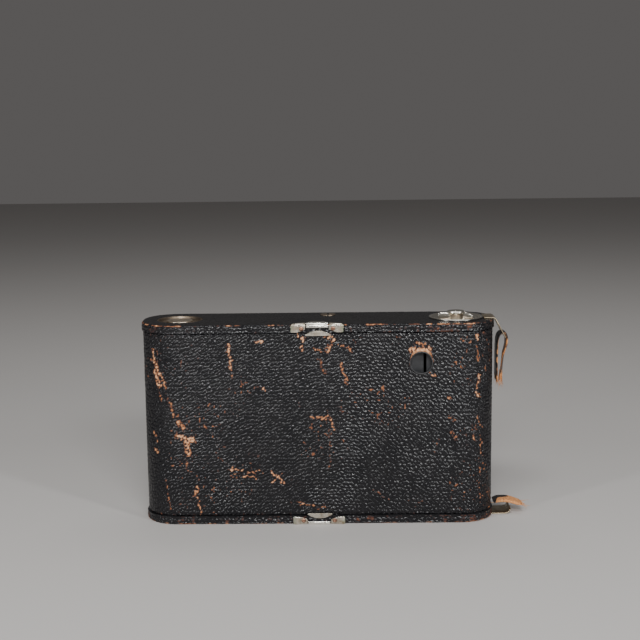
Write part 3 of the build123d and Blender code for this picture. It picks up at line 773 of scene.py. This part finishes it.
# ------------------------------------------------------------------ materials
def leather_material():
    m = Look("pebbled_leather")
    peb, wear = m.attribute("peb"), m.attribute("wear")
    fine, mid, patch = m.noise(2100, 3, 0.6), m.noise(620, 3, 0.6), m.noise(60, 3, 0.55)
    shown = m.mul(wear, 1.12)
    for extra in (m.about(mid, 0.5, 1.5), m.about(fine, 0.5, 0.5), m.about(peb, 0.6, 0.30)):
        shown = m.add(shown, m.mul(extra, m.calc("MINIMUM", wear, 0.8)))
    black = m.ramp(patch, (0.3, (0.0045, 0.0045, 0.0062)), (0.7, (0.0085, 0.0078, 0.0092)))
    # painted shade: the base colour falls to near black where the grain value is low, so the creases between
    # pebbles are painted darker in place of the shade that falls in them
    black = m.mix(m.ramp(peb, (0.15, 0.25), (0.75, 1.0)), (0.0012, 0.0011, 0.0016), black)
    tan = m.ramp(shown, (0.22, (0.010, 0.008, 0.009)), (0.38, (0.040, 0.014, 0.010)), (0.55, (0.17, 0.058, 0.024)),
                 (0.80, (0.40, 0.175, 0.075)), (1.0, (0.60, 0.34, 0.19)))
    bare = m.about(shown, 0.2, 6.0, clamp=True)
    m.to("Base Color", m.mix(bare, black, tan))
    gloss = m.ramp(peb, (0.0, 0.30), (0.5, 0.22), (1.0, 0.17))
    m.to("Roughness", m.add(m.mix(bare, gloss, 0.72), m.about(patch, 0.5, 0.16), clamp=True))
    m.to("IOR", 1.46)
    m.to("Specular IOR Level", 0.40)
    under = m.bump(peb, 0.00030)
    m.bump(m.add(fine, m.mul(mid, 0.8)), 0.00004, 0.45, below=under)
    return m.mat


def metal_material(name, clean, stain, rough=(0.2, 0.42), scale=160, stain_at=(0.45, 0.68), scratch=0.5,
                   tarnish=None):
    """Worn metal. tarnish gives a distance from x = 0 in metres and the colour beyond it."""
    m = Look(name)
    m.to("Metallic", 1.0)
    spots, fine, lines = m.noise(scale, 5, 0.62), m.noise(1700, 3, 0.6), m.noise(900, 3, 0.5)
    colour = m.mix(m.ramp(spots, (stain_at[0], 0.0), (stain_at[1], 1.0)), clean, stain)
    if tarnish:
        place = m.node("ShaderNodeSeparateXYZ")
        m.feed(m.position(), place.inputs[0])
        far = m.about(m.calc("ABSOLUTE", place.outputs["X"]), tarnish[0], 450.0, clamp=True)
        speck = m.ramp(m.noise(650, 3, 0.6), (0.42, 0.0), (0.62, 1.0))
        colour = m.mix(m.mul(far, speck), colour, tarnish[1])
    m.to("Base Color", colour)
    worn = m.ramp(spots, (0.3, rough[0]), (0.7, rough[1]))
    m.to("Roughness", m.add(worn, m.about(fine, 0.5, 0.25), clamp=True))
    m.bump(m.add(m.mul(fine, 0.5), m.mul(lines, scratch)), 0.000008, 0.35)
    return m.mat


def lacquer_material(name, colour=(0.012, 0.012, 0.013), rough=(0.28, 0.5)):
    m = Look(name)
    spots, fine = m.noise(120, 5, 0.6), m.noise(1500, 3, 0.6)
    tone = m.ramp(spots, (0.35, colour), (0.72, tuple(c * 2.6 + 0.006 for c in colour)))
    m.to("Base Color", m.mix(m.ramp(fine, (0.70, 0.0), (0.76, 1.0)), tone, (0.10, 0.075, 0.05)))
    m.to("Roughness", m.ramp(spots, (0.3, rough[0]), (0.7, rough[1])))
    m.bump(m.add(m.mul(fine, 0.6), m.noise(500, 3, 0.5, (0.15, 1, 1))), 0.00002, 0.35)
    return m.mat


def wood_material():
    m = Look("spool_wood")
    rings, pores = m.noise(130, 4, 0.6, (1, 1, 0.06)), m.noise(1600, 3, 0.6, (1, 1, 0.12))
    tone = m.ramp(rings, (0.3, (0.30, 0.16, 0.07)), (0.55, (0.47, 0.28, 0.14)), (0.75, (0.24, 0.12, 0.05)))
    m.to("Base Color", m.mix(m.ramp(pores, (0.35, 1.0), (0.45, 0.0)), tone, (0.12, 0.06, 0.03)))
    m.to("Roughness", m.ramp(pores, (0.3, 0.7), (0.7, 0.45)))
    m.bump(m.add(pores, rings), 0.00008, 0.5)
    return m.mat


def glass_material():
    m = Look("lens_glass")
    m.to("Transmission Weight", 1.0)
    m.to("IOR", 1.52)
    dust = m.noise(900, 4, 0.65)
    m.to("Base Color", m.ramp(m.noise(90, 3, 0.5), (0.3, (0.93, 0.95, 0.96)), (0.7, (0.99, 0.985, 0.96))))
    m.to("Roughness", m.ramp(dust, (0.45, 0.02), (0.75, 0.16)))
    m.bump(dust, 0.00001, 0.2)
    return m.mat


def strap_material():
    m = Look("strap_leather")
    fibre, patch = m.noise(1100, 4, 0.6, (1, 1, 0.25)), m.noise(260, 4, 0.6)
    crack = m.noise(700, 3, 0.6, (0.5, 0.5, 1.6))
    skin = m.ramp(crack, (0.35, (0.010, 0.009, 0.010)), (0.6, (0.022, 0.017, 0.016)), (0.8, (0.10, 0.05, 0.03)))
    flesh = m.ramp(fibre, (0.3, (0.26, 0.085, 0.028)), (0.55, (0.58, 0.255, 0.090)), (0.8, (0.76, 0.43, 0.20)))
    torn = m.ramp(m.add(m.attribute("wear"), m.about(patch, 0.5, 1.1)), (0.38, 0.0), (0.60, 1.0))
    m.to("Base Color", m.mix(torn, skin, flesh))
    m.to("Roughness", m.mix(torn, 0.36, 0.85))
    m.bump(m.add(fibre, crack), 0.00012, 0.7)
    return m.mat


def bellows_material():
    m = Look("bellows_leather")
    fine = m.noise(1300, 4, 0.65)
    m.to("Base Color", m.ramp(m.noise(110, 4, 0.6), (0.3, (0.020, 0.0185, 0.0195)),
                              (0.62, (0.040, 0.033, 0.033)), (0.85, (0.095, 0.048, 0.032))))
    m.to("Roughness", m.ramp(fine, (0.3, 0.52), (0.7, 0.33)))
    m.bump(fine, 0.00012, 0.6)
    return m.mat


# ------------------------------------------------------------------ small modelled pieces
def from_bmesh(name, bm, material, body, slot="nickel", replaced=()):
    mesh = bpy.data.meshes.new(name)
    bmesh.ops.recalc_face_normals(bm, faces=bm.faces)
    bm.to_mesh(mesh)
    bm.free()
    return attach(as_object(name, mesh, material, 42), body, slot, replaced)


def bevel(bm, edges, width, segments):
    bmesh.ops.bevel(bm, geom=edges, offset=width * MM, segments=segments, affect="EDGES", profile=0.5,
                    clamp_overlap=True)


def refined(node_name, body, slot, material, width):
    """A CAD node's own shape with its sharp edges rounded."""
    bm = bmesh.new()
    bm.from_mesh(nodes[node_name].data)
    bmesh.ops.remove_doubles(bm, verts=bm.verts, dist=1e-7)
    bmesh.ops.dissolve_limit(bm, angle_limit=math.radians(1), verts=bm.verts, edges=bm.edges)
    sharp = [e for e in bm.edges if len(e.link_faces) == 2 and e.calc_face_angle(0) > math.radians(38)]
    if sharp:
        bevel(bm, sharp, width, 2)
    from_bmesh(node_name + "_detail", bm, material, body, slot, (node_name,))


def prism(bm, points, low, high, plane="XZ", edge=0.2, segments=2):
    """Adds an extruded polygon whose points lie in the XZ or XY plane, with rounded edges."""
    lower, upper = [[bm.verts.new(Vector((a, h, b) if plane == "XZ" else (a, b, h)) * MM) for a, b in points]
                    for h in (low, high)]
    n = len(points)
    made = [bm.faces.new(lower[::-1]), bm.faces.new(upper)]
    for i in range(n):
        made.append(bm.faces.new((lower[i], lower[(i + 1) % n], upper[(i + 1) % n], upper[i])))
    bmesh.ops.recalc_face_normals(bm, faces=made)
    sharp = dict.fromkeys(e for f in made for e in f.edges if e.calc_face_angle(0) > math.radians(30))
    bevel(bm, list(sharp), edge, segments)


def lathe(bm, profile, centre, axis="Z", segments=64):
    """Adds a turned shape. The profile is a list of (radius, height); radius 0 closes it."""
    rings = []
    for r, h in profile:
        ring = []
        for i in range(segments if r > 1e-6 else 1):
            a = 2 * math.pi * i / segments
            p = (r * math.cos(a), r * math.sin(a), h)
            if axis == "Y":
                p = (p[0], p[2], p[1])
            ring.append(bm.verts.new(Vector((centre[0] + p[0], centre[1] + p[1], centre[2] + p[2])) * MM))
        rings.append(ring)
    for a, b in zip(rings, rings[1:]):
        for i in range(segments):
            j = (i + 1) % segments
            quad = [a[i % len(a)], a[j % len(a)], b[j % len(b)], b[i % len(b)]]
            quad = list(dict.fromkeys(quad))
            if len(quad) > 2:
                bm.faces.new(quad)


def arc_points(cx, cy, r, a0, a1, n):
    turns = [math.radians(a0 + (a1 - a0) * i / n) for i in range(n + 1)]
    return [(cx + r * math.cos(a), cy + r * math.sin(a)) for a in turns]


def make_catches(nickel, bright, copper):
    """Both catches. Heights are given for the top one; flip turns them over for the bottom one."""
    def flip(points, up):
        return [(x, z if up else HEIGHT - z) for x, z in points]

    for body, up in (("top_catch", True), ("bottom_catch", False)):
        bm = bmesh.new()
        prism(bm, flip(rect(-6.0, 109.25, 6.0, 111.0), up), -23.45, -22.55, edge=0.32, segments=3)
        prism(bm, flip([(-5.2, 109.6), (5.2, 109.6), (4.2, 110.6), (-4.2, 110.6)], up), -23.7, -23.3, edge=0.18)
        if up:
            lid = [(-6.0, -23.45), (6.0, -23.45), (6.0, -20.75), (3.5, -16.75), (-3.5, -16.75), (-6.0, -20.75)]
            prism(bm, lid, 110.95, 111.95, "XY", 0.38, 3)
        from_bmesh(body + "_bar", bm, bright, body, replaced=(body,))

    plate_back = -22.22
    inner = [(6.5, 110.85), (10.2, 110.75), (10.2, 106.9), (8.0, 107.6), (6.5, 108.3)]
    end = [(10.2, 110.95), (13.9, 110.9), (14.2, 110.2), (14.2, 107.0), (13.8, 106.7), (10.2, 106.7)]
    bm = bmesh.new()
    for up, side in product((True, False), (-1, 1)):
        prism(bm, flip([(side * x, z) for x, z in inner], up), -22.8, plate_back, edge=0.16)
        prism(bm, flip([(side * x, z) for x, z in end], up), -23.2, plate_back, edge=0.26, segments=3)
    from_bmesh("catch_plates_worn", bm, nickel, "case", replaced=("catch_plates",))

    wing = [(6.5, -22.4), (13.6, -22.4), (13.0, -20.6), (10.4, -18.6), (6.5, -17.2)]
    bm = bmesh.new()
    for side in (-1, 1):
        prism(bm, [(side * x, y) for x, y in wing], 110.85, 111.35, "XY", 0.14)
    from_bmesh("catch_top_wings", bm, nickel, "case")

    rivet_y = -22.78
    bm = bmesh.new()
    for side, z in product((-1, 1), (HEIGHT - 2.2, 2.2)):
        lathe(bm, [(0, 0.36), (0.3, 0.38), (0.45, 0.5), (0.8, 0.46), (1.1, 0.26), (1.25, 0.05), (1.25, -0.1),
                   (0, -0.1)], (side * 8.5, rivet_y, z), "Y", 32)
    for v in bm.verts:
        v.co.y = 2 * rivet_y * MM - v.co.y
    from_bmesh("catch_rivets_worn", bm, copper, "case", replaced=("catch_rivets",))

    bm = bmesh.new()
    for up in (True, False):
        sign = 1 if up else -1
        arc = arc_points(0.4, 96.0 if up else HEIGHT - 96.0, 11.6, sign * 53, sign * 127, 14)
        low = flip([(7.4, 105.2), (-6.6, 105.2), (-5.6, 104.8), (6.4, 104.8)], up)
        prism(bm, low[:1] + arc + low[1:], -22.72, -22.0, edge=0.22, segments=3)
    from_bmesh("cover_tongue_plates", bm, nickel, "back_cover", replaced=("cover_tongues",))


def make_key(nickel):
    x = SPOOL_X
    bm = bmesh.new()
    lathe(bm, [(0, 114.6), (3.6, 114.6), (4.4, 114.5), (4.95, 114.1), (5.05, 113.6), (4.9, 113.1), (4.3, 112.9),
               (4.1, 112.6), (4.1, 109.9), (4.7, 109.6), (4.7, 109.3), (0, 109.3)], (x, 0, 0), segments=72)
    lathe(bm, [(0, 114.75), (1.1, 114.75), (1.5, 114.66), (1.6, 114.5), (0, 114.5)], (x, 0, 0), segments=40)
    left = [(x - 9.6, 109.6), (x - 3.4, 109.6), (x - 3.4, 113.7), (x - 8.9, 113.9), (x - 9.6, 113.3)]
    right = [(x + 3.4, 109.6), (x + 9.6, 109.6), (x + 9.6, 111.0), (x + 8.8, 112.0), (x + 4.6, 113.9),
             (x + 3.4, 113.9)]
    prism(bm, left, -2.6, -0.8, edge=0.35, segments=3)
    prism(bm, right, 0.8, 2.6, edge=0.35, segments=3)
    prism(bm, rect(x - 3.0, -2.6, x, -0.9), 110.2, 112.6, "XY")
    prism(bm, rect(x, 0.9, x + 3.0, 2.6), 110.2, 112.6, "XY")
    from_bmesh("winding_key_head", bm, nickel, "winding_key", replaced=("winding_key",))
    bm = bmesh.new()
    lathe(bm, [(0, 109.5), (3.0, 109.5), (3.0, 100.6), (0, 100.6)], (x, 0, 0), segments=48)
    prism(bm, rect(x - 3.6, -0.6, x + 3.6, 0.6), 95.5, 100.7, "XY", 0.12)
    from_bmesh("winding_key_shaft", bm, nickel, "winding_key")


def make_dishes(nickel, dark):
    """Turned dishes around the key and the upper spool pin, each closed on the floor of its node."""
    for name, x, node_name, material, slot, r_in, r_out, profile in (
            ("key_dish_ring", SPOOL_X, "key_dish", nickel, "nickel", 12.6, 14.45,
             [(14.45, 111.0), (14.75, 111.08), (14.85, 111.35), (14.5, 111.6), (13.9, 111.55), (13.5, 111.1),
              (13.2, 110.2), (12.75, 109.2), (12.6, 109.0)]),
            ("key_dish_floor", SPOOL_X, "key_dish", dark, "nickel", 3.1, 12.55,
             [(12.55, 108.95), (11.9, 108.98), (8.2, 108.9), (7.9, 109.02), (3.6, 109.02), (3.1, 108.8)]),
            ("pin_dish_ring", -SPOOL_X, "pin_dish", dark, "black_metal", 2.1, 12.65,
             [(12.65, 110.7), (12.3, 110.95), (11.9, 110.8), (11.6, 110.2), (11.2, 109.3), (10.8, 109.05),
              (2.6, 109.05), (2.1, 108.9)])):
        floor_z = float(box_mm(node_name)[0][2]) + 0.05
        bm = bmesh.new()
        lathe(bm, [(r_in, floor_z), (r_out, floor_z), *profile, (r_in, floor_z)], (x, 0, 0), segments=96)
        from_bmesh(name, bm, material, "case", slot, (node_name,))


def make_knobs(nickel):
    """Spool pins with milled knobs: place, knob height, radius, thickness, direction and end of the pin."""
    for name, x, z_knob, r, tall, up, nose in (("supply_pin", -SPOOL_X, 109.2, 7.3, 1.3, 1, 95.5),
                                               ("supply_lower_pin", -SPOOL_X, 2.1, 6.0, 1.4, -1, 15.5),
                                               ("take_up_lower_pin", SPOOL_X, 2.1, 6.0, 1.4, -1, 15.5)):
        bm = bmesh.new()
        knob = [(0, tall - 0.25), (r * 0.55, tall - 0.25), (r * 0.62, tall - 0.05), (r - 0.35, tall),
                (r - 0.1, tall - 0.12), (r, tall - 0.35), (r, 0.3), (r - 0.25, 0.0), (2.0, 0.0)]
        pin = [(2.0, nose + 0.5 * up), (1.5, nose), (0, nose)]
        lathe(bm, [(rr, z_knob + up * h) for rr, h in knob] + pin, (x, 0, 0), segments=80)
        for v in bm.verts:
            d = Vector((v.co.x / MM - x, v.co.y / MM, 0))
            if abs(d.length - r) < 0.01:
                k = 1 - 0.012 * (0.5 + 0.5 * math.cos(40 * math.atan2(d.y, d.x)))
                v.co.x, v.co.y = (x + d.x * k) * MM, d.y * k * MM
        from_bmesh(name + "_knob", bm, nickel, name, replaced=(name,))


# ------------------------------------------------------------------ strap remnants
def strap_piece(name, node_name, material, path, thick, ragged, seed, twist=0.0, peel=None):
    """Torn flat strap along a path of (x, z), dark outside and pale on the flesh side.

    ragged is how far each end is torn; peel is the bare length at the far and the near edge."""
    half, station = 5.8, 0.45
    pts = np.array(path, float)
    dist = np.concatenate([[0], np.cumsum(np.hypot(*np.diff(pts, axis=0).T))])
    stations = np.linspace(0, dist[-1], max(int(dist[-1] / station), 8))
    px, pz = np.interp(stations, dist, pts[:, 0]), np.interp(stations, dist, pts[:, 1])
    for _ in range(6):
        for line in (px, pz):
            line[1:-1] = 0.25 * line[:-2] + 0.5 * line[1:-1] + 0.25 * line[2:]
    tx, tz = np.gradient(px), np.gradient(pz)
    size = np.hypot(tx, tz)
    tx, tz = tx / size, tz / size
    flat = np.linspace(-half, half, 29)
    sec = np.array([(y, thick / 2) for y in flat] + [(half + 0.1, 0.0)]
                   + [(y, -thick / 2) for y in flat[::-1]] + [(-half - 0.1, 0.0)])
    across, level = sec.T
    rows, cols = len(stations), len(sec)

    def cross(x, y, z=0.0):
        """Noise points for one cross-section."""
        return np.column_stack([np.broadcast_to(part, cols) for part in (x, y, z)])

    verts, wear = [], []
    for here in stations:
        a = cross(here, across, seed * 9.0)
        torn0 = ragged[0] * (fractal(a * [0, 1, 1] + [3, 0, 0], 2.2, 3, seed) - 0.25)
        torn1 = ragged[1] * (fractal(a * [0, 1, 1] + [9, 0, 0], 2.0, 3, seed + 3) - 0.25)
        d = np.clip(here, torn0, stations[-1] - torn1)
        cx, cz = np.interp(d, stations, px), np.interp(d, stations, pz)
        nx, nz = -np.interp(d, stations, tz), np.interp(d, stations, tx)
        waist = 1 - 0.05 * value_noise(cross(d, 0, seed), 7, seed)
        waist = waist - 0.03 * value_noise(cross(d, 4, np.sign(across)), 2.2, seed)
        round_edge = np.sqrt(np.clip(1 - (np.abs(across) / (half + 0.15)) ** 6, 0.05, 1))
        lump = 0.22 * (fractal(cross(d, across, level), 3.1, 3, seed + 7) - 0.5)
        far_gap = stations[-1] - torn1 - d
        end_gap = np.minimum(d - torn0, far_gap)
        thin = 0.45 + 0.55 * smooth(0, 3.0, end_gap)
        curl = 0.5 * (value_noise(cross(d, across * 0.6), 6, seed + 11) - 0.5) * (np.abs(across) / half) ** 2
        off = level * round_edge * thin + lump + curl
        turn = twist * smooth(0.5, 1.0, d / stations[-1])
        wide = across * waist * np.cos(turn) - off * np.sin(turn)
        off = across * np.sin(turn) + off * np.cos(turn)
        verts.append(np.column_stack([cx + nx * off, wide, cz + nz * off]))
        frayed = smooth(7.0, 0.0, end_gap)
        if peel:
            bare = peel[0] + (peel[1] - peel[0]) * smooth(1.5, -1.5, across)
            bare = bare + 3.0 * (fractal(a, 3.0, 2, seed + 19) - 0.5)
            frayed = smooth(bare + 0.7, bare - 0.7, far_gap) * (0.75 + 0.25 * value_noise(a, 1.6, seed + 21))
        flesh = 0.55 * (level < 0) * (0.4 + 0.6 * smooth(0.3, 0.6, fractal(a, 4, 2, seed + 13)))
        side_edge = 0.15 + 0.45 * smooth(0.4, 0.7, value_noise(a, 2.5, seed + 17))
        side_edge = side_edge * (np.abs(across) > half - 0.5)
        wear.append(np.clip(np.maximum.reduce([frayed, flesh, side_edge]), 0, 1))
    verts, wear = np.concatenate(verts).tolist(), np.concatenate(wear).tolist()
    faces = grid_faces(rows, cols)
    faces.append(tuple(range(cols))[::-1])
    faces.append(tuple((rows - 1) * cols + i for i in range(cols)))
    # loose fibres at the torn ends
    steps = 6
    for end, sign, torn in ((0, -1, ragged[0]), (rows - 1, 1, ragged[1])):
        for _ in range(int(torn * 4)):
            y = rng.uniform(-half * 0.95, half * 0.95)
            long = rng.uniform(0.8, 1.2 + 0.8 * torn)
            back = 2.2 + torn * 0.6
            root = end - sign * int(back / station)
            ax, az = tx[root], tz[root]
            lean, bend = rng.uniform(-0.5, 0.5), rng.uniform(-0.25, 0.25)
            start = len(verts)
            for j in range(steps + 1):
                t = j / steps
                run = (long + back) * t
                r = 0.20 * (1 - 0.85 * t)
                ox = px[root] + sign * ax * run - az * bend * run * t * 1.6
                oz = pz[root] + sign * az * run + ax * bend * run * t * 1.6
                oy = y + lean * run * 0.5 * t
                for q in range(4):
                    c, s = r * math.cos(math.pi / 2 * q), r * math.sin(math.pi / 2 * q)
                    verts.append([ox - az * c, oy + s, oz + ax * c])
            wear += [0.95] * (4 * (steps + 1))
            faces += grid_faces(steps + 1, 4, start)
            faces.append(tuple(start + q for q in range(4))[::-1])
            faces.append(tuple(start + steps * 4 + q for q in range(4)))
    obj = add_piece(name, verts, faces, material, "case", "strap_leather", (node_name,))
    set_attribute(obj, "wear", wear)
    fix_normals(obj.data)


# ------------------------------------------------------------------ bellows
def make_bellows(material):
    low, high = box_mm("bellows")
    y0, y1 = float(low[1]) + 0.15, float(high[1]) - 0.15
    folds, deep, skin = 22, 6.4, 0.57
    # half width, half height and x of the middle, at the case and at the standard
    rear, front = np.array([56.3, 44.3, 0.0]), np.array([26.0, 29.0, -3.0])

    def section(hx, hz, cx, corner):
        hx, hz = max(hx, corner + 1), max(hz, corner + 1)
        corners = [(hx, -hz + corner), (hx, hz - corner), (hx - corner, hz), (-hx + corner, hz), (-hx, hz - corner),
                   (-hx, -hz + corner), (-hx + corner, -hz), (hx - corner, -hz)]
        pts = []
        for k in range(8):
            a, b = np.array(corners[k]), np.array(corners[(k + 1) % 8])
            steps = 3 if k % 2 else 10                # corners are short
            pts += [a + (b - a) * i / steps for i in range(steps)]
        return np.array(pts) + (cx, 0)

    def surface(inward):
        rows = []
        for k in range(2 * folds + 1):
            share = k / (2 * folds)
            y = y0 + (y1 - y0) * (0.5 - math.sin(math.asin(1 - 2 * share) / 3))
            hx, hz, cx = rear + (front - rear) * share
            valley = k % 2
            pull = deep * valley + inward
            sec = section(hx - pull, hz - pull, cx, 5.2 - 3.2 * valley)
            wob = 0.25 * (fractal(np.column_stack([sec, np.full(len(sec), k * 1.7)]), 9, 2, 121) - 0.5)
            rows.append(np.column_stack([sec[:, 0] + wob * np.sign(sec[:, 0] - cx), np.full(len(sec), y),
                                         MIDDLE + sec[:, 1] + wob * np.sign(sec[:, 1])]))
        return np.concatenate(rows), len(rows), len(rows[0])

    outer, rows, cols = surface(0.0)
    inner, _, _ = surface(skin)
    count = len(outer)
    faces = grid_faces(rows, cols)
    faces += [tuple(reversed(f)) for f in grid_faces(rows, cols, count)]
    for r in (0, rows - 1):
        for c in range(cols):
            a, b = r * cols + c, r * cols + (c + 1) % cols
            faces.append((a, b, b + count, a + count))
    mesh = bpy.data.meshes.new("bellows_skin")
    mesh.from_pydata((np.concatenate([outer, inner]) * MM).tolist(), [], faces)
    obj = as_object("bellows_skin", mesh, material)
    fix_normals(mesh)
    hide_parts("bellows")
    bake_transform(obj)


# ------------------------------------------------------------------ build
make_camera()
make_stage()

black_leather = leather_material()
strap_mat = strap_material()
bellows_mat = bellows_material()
nickel = metal_material("aged_nickel", (0.66, 0.62, 0.54), (0.30, 0.23, 0.15), scale=260,
                        tarnish=(0.0122, (0.26, 0.36, 0.24)))
bright = metal_material("bright_nickel", (0.82, 0.80, 0.74), (0.52, 0.45, 0.34), (0.13, 0.26), 110,
                        (0.55, 0.85), 0.15)
key_metal = metal_material("key_nickel", (0.84, 0.81, 0.73), (0.58, 0.50, 0.38), (0.12, 0.24), 90,
                           (0.55, 0.85), 0.1)
warm = metal_material("warm_nickel", (0.62, 0.54, 0.43), (0.28, 0.21, 0.13), (0.25, 0.45), 220)
copper = metal_material("worn_copper", (0.34, 0.19, 0.13), (0.10, 0.055, 0.04), (0.3, 0.5), 700)
bronze = metal_material("dark_bronze", (0.24, 0.19, 0.14), (0.07, 0.055, 0.045), (0.35, 0.55), 300)
brass = metal_material("old_brass", (0.62, 0.45, 0.20), (0.25, 0.15, 0.06), (0.22, 0.42), 200)
lug_metal = metal_material("lug_metal", (0.46, 0.39, 0.28), (0.19, 0.145, 0.095), (0.26, 0.45), 240)
lacquer = lacquer_material("black_lacquer")
inner_black = lacquer_material("inner_black", (0.012, 0.0125, 0.014), (0.32, 0.55))
wood = wood_material()
glass = glass_material()

make_cover(black_leather)
plug_x, plug_y, _ = sum(box_mm("socket_plug")) / 2
make_cap("top_leather_skin", "top_leather", True,
         [(SPOOL_X, 0, 14.5), (-SPOOL_X, 0, 12.7), (plug_x, plug_y, 4.4)], black_leather)
make_cap("bottom_leather_skin", "bottom_leather", False, [(SPOOL_X, 0, 6.3), (-SPOOL_X, 0, 6.3)], black_leather)
make_walls(black_leather)
make_bed_leather(black_leather)
make_catches(nickel, bright, copper)
make_key(key_metal)
make_dishes(key_metal, bronze)
make_knobs(warm)
strap_piece("upper_strap_torn", "upper_strap_end", strap_mat,
            [(98.8, 75.0), (98.7, 90.0), (98.9, 98.0), (99.8, 101.4), (101.4, 102.6), (103.2, 102.6),
             (104.3, 100.0), (104.1, 95.5), (102.4, 89.5), (101.5, 80.0), (101.4, 75.5)],
            thick=1.1, ragged=(1.5, 4.5), seed=5, twist=0.2)
strap_piece("lower_strap_torn", "lower_strap_end", strap_mat,
            [(97.6, 5.9), (100.5, 6.8), (105.0, 6.9), (108.5, 5.9), (111.5, 5.0), (114.4, 4.6)],
            thick=1.9, ragged=(0.4, 3.0), seed=9, peel=(8.0, 14.5))
make_bellows(bellows_mat)

body_of = {}
for body, held in frame["record"]["behaviour"]["bodies"].items():
    for name in held if isinstance(held, list) else held["nodes"]:
        body_of[name] = body

# CAD nodes shown by their own shape with rounded edges: material, slot, edge width
DETAIL = {
    "upper_strap_lug": (lug_metal, "nickel", 0.18), "lower_strap_lug": (lug_metal, "nickel", 0.18),
    "socket_plug": (bronze, "nickel", 0.12), "window_ring": (lacquer, "nickel", 0.12),
    "bed_button": (bright, "nickel", 0.25), "tripod_bush": (brass, "brass", 0.2),
    "lens_barrel": (brass, "brass", 0.25), "shutter_case": (bright, "nickel", 0.3),
    "shutter_face": (lacquer, "black_metal", 0.2), "lens_board": (lacquer, "black_metal", 0.25),
    "standard_frame": (bright, "nickel", 0.25), "finder_body": (bright, "nickel", 0.3),
    "carriage": (bright, "nickel", 0.2), "focus_lever": (bright, "nickel", 0.2),
    "aperture_lever": (bright, "nickel", 0.2), "release_lever": (bright, "nickel", 0.2),
    "lower_strut": (bright, "nickel", 0.18), "upper_strut": (bright, "nickel", 0.18),
    "bed_flanges": (nickel, "nickel", 0.2), "bed_track": (bright, "nickel", 0.15),
    "focus_scale": (warm, "nickel", 0.1), "bed_leg": (bright, "nickel", 0.15),
}
for name, (material, slot, width) in DETAIL.items():
    refined(name, body_of[name], slot, material, width)

# CAD nodes shown as they are
paint(lacquer, "top_plate", "bottom_plate", "front_walls", "back_cover", "bed_panel", "hinge_leaf",
      "supply_flanges", "take_up_flanges", "shutter_blades")
paint(inner_black, "partitions", "film_gate", "left_roller", "right_roller")
paint(nickel, "inner_pins", "hinge_pin")
paint(wood, "supply_core", "take_up_core")
paint(glass, "lens_glasses", "finder_glasses")
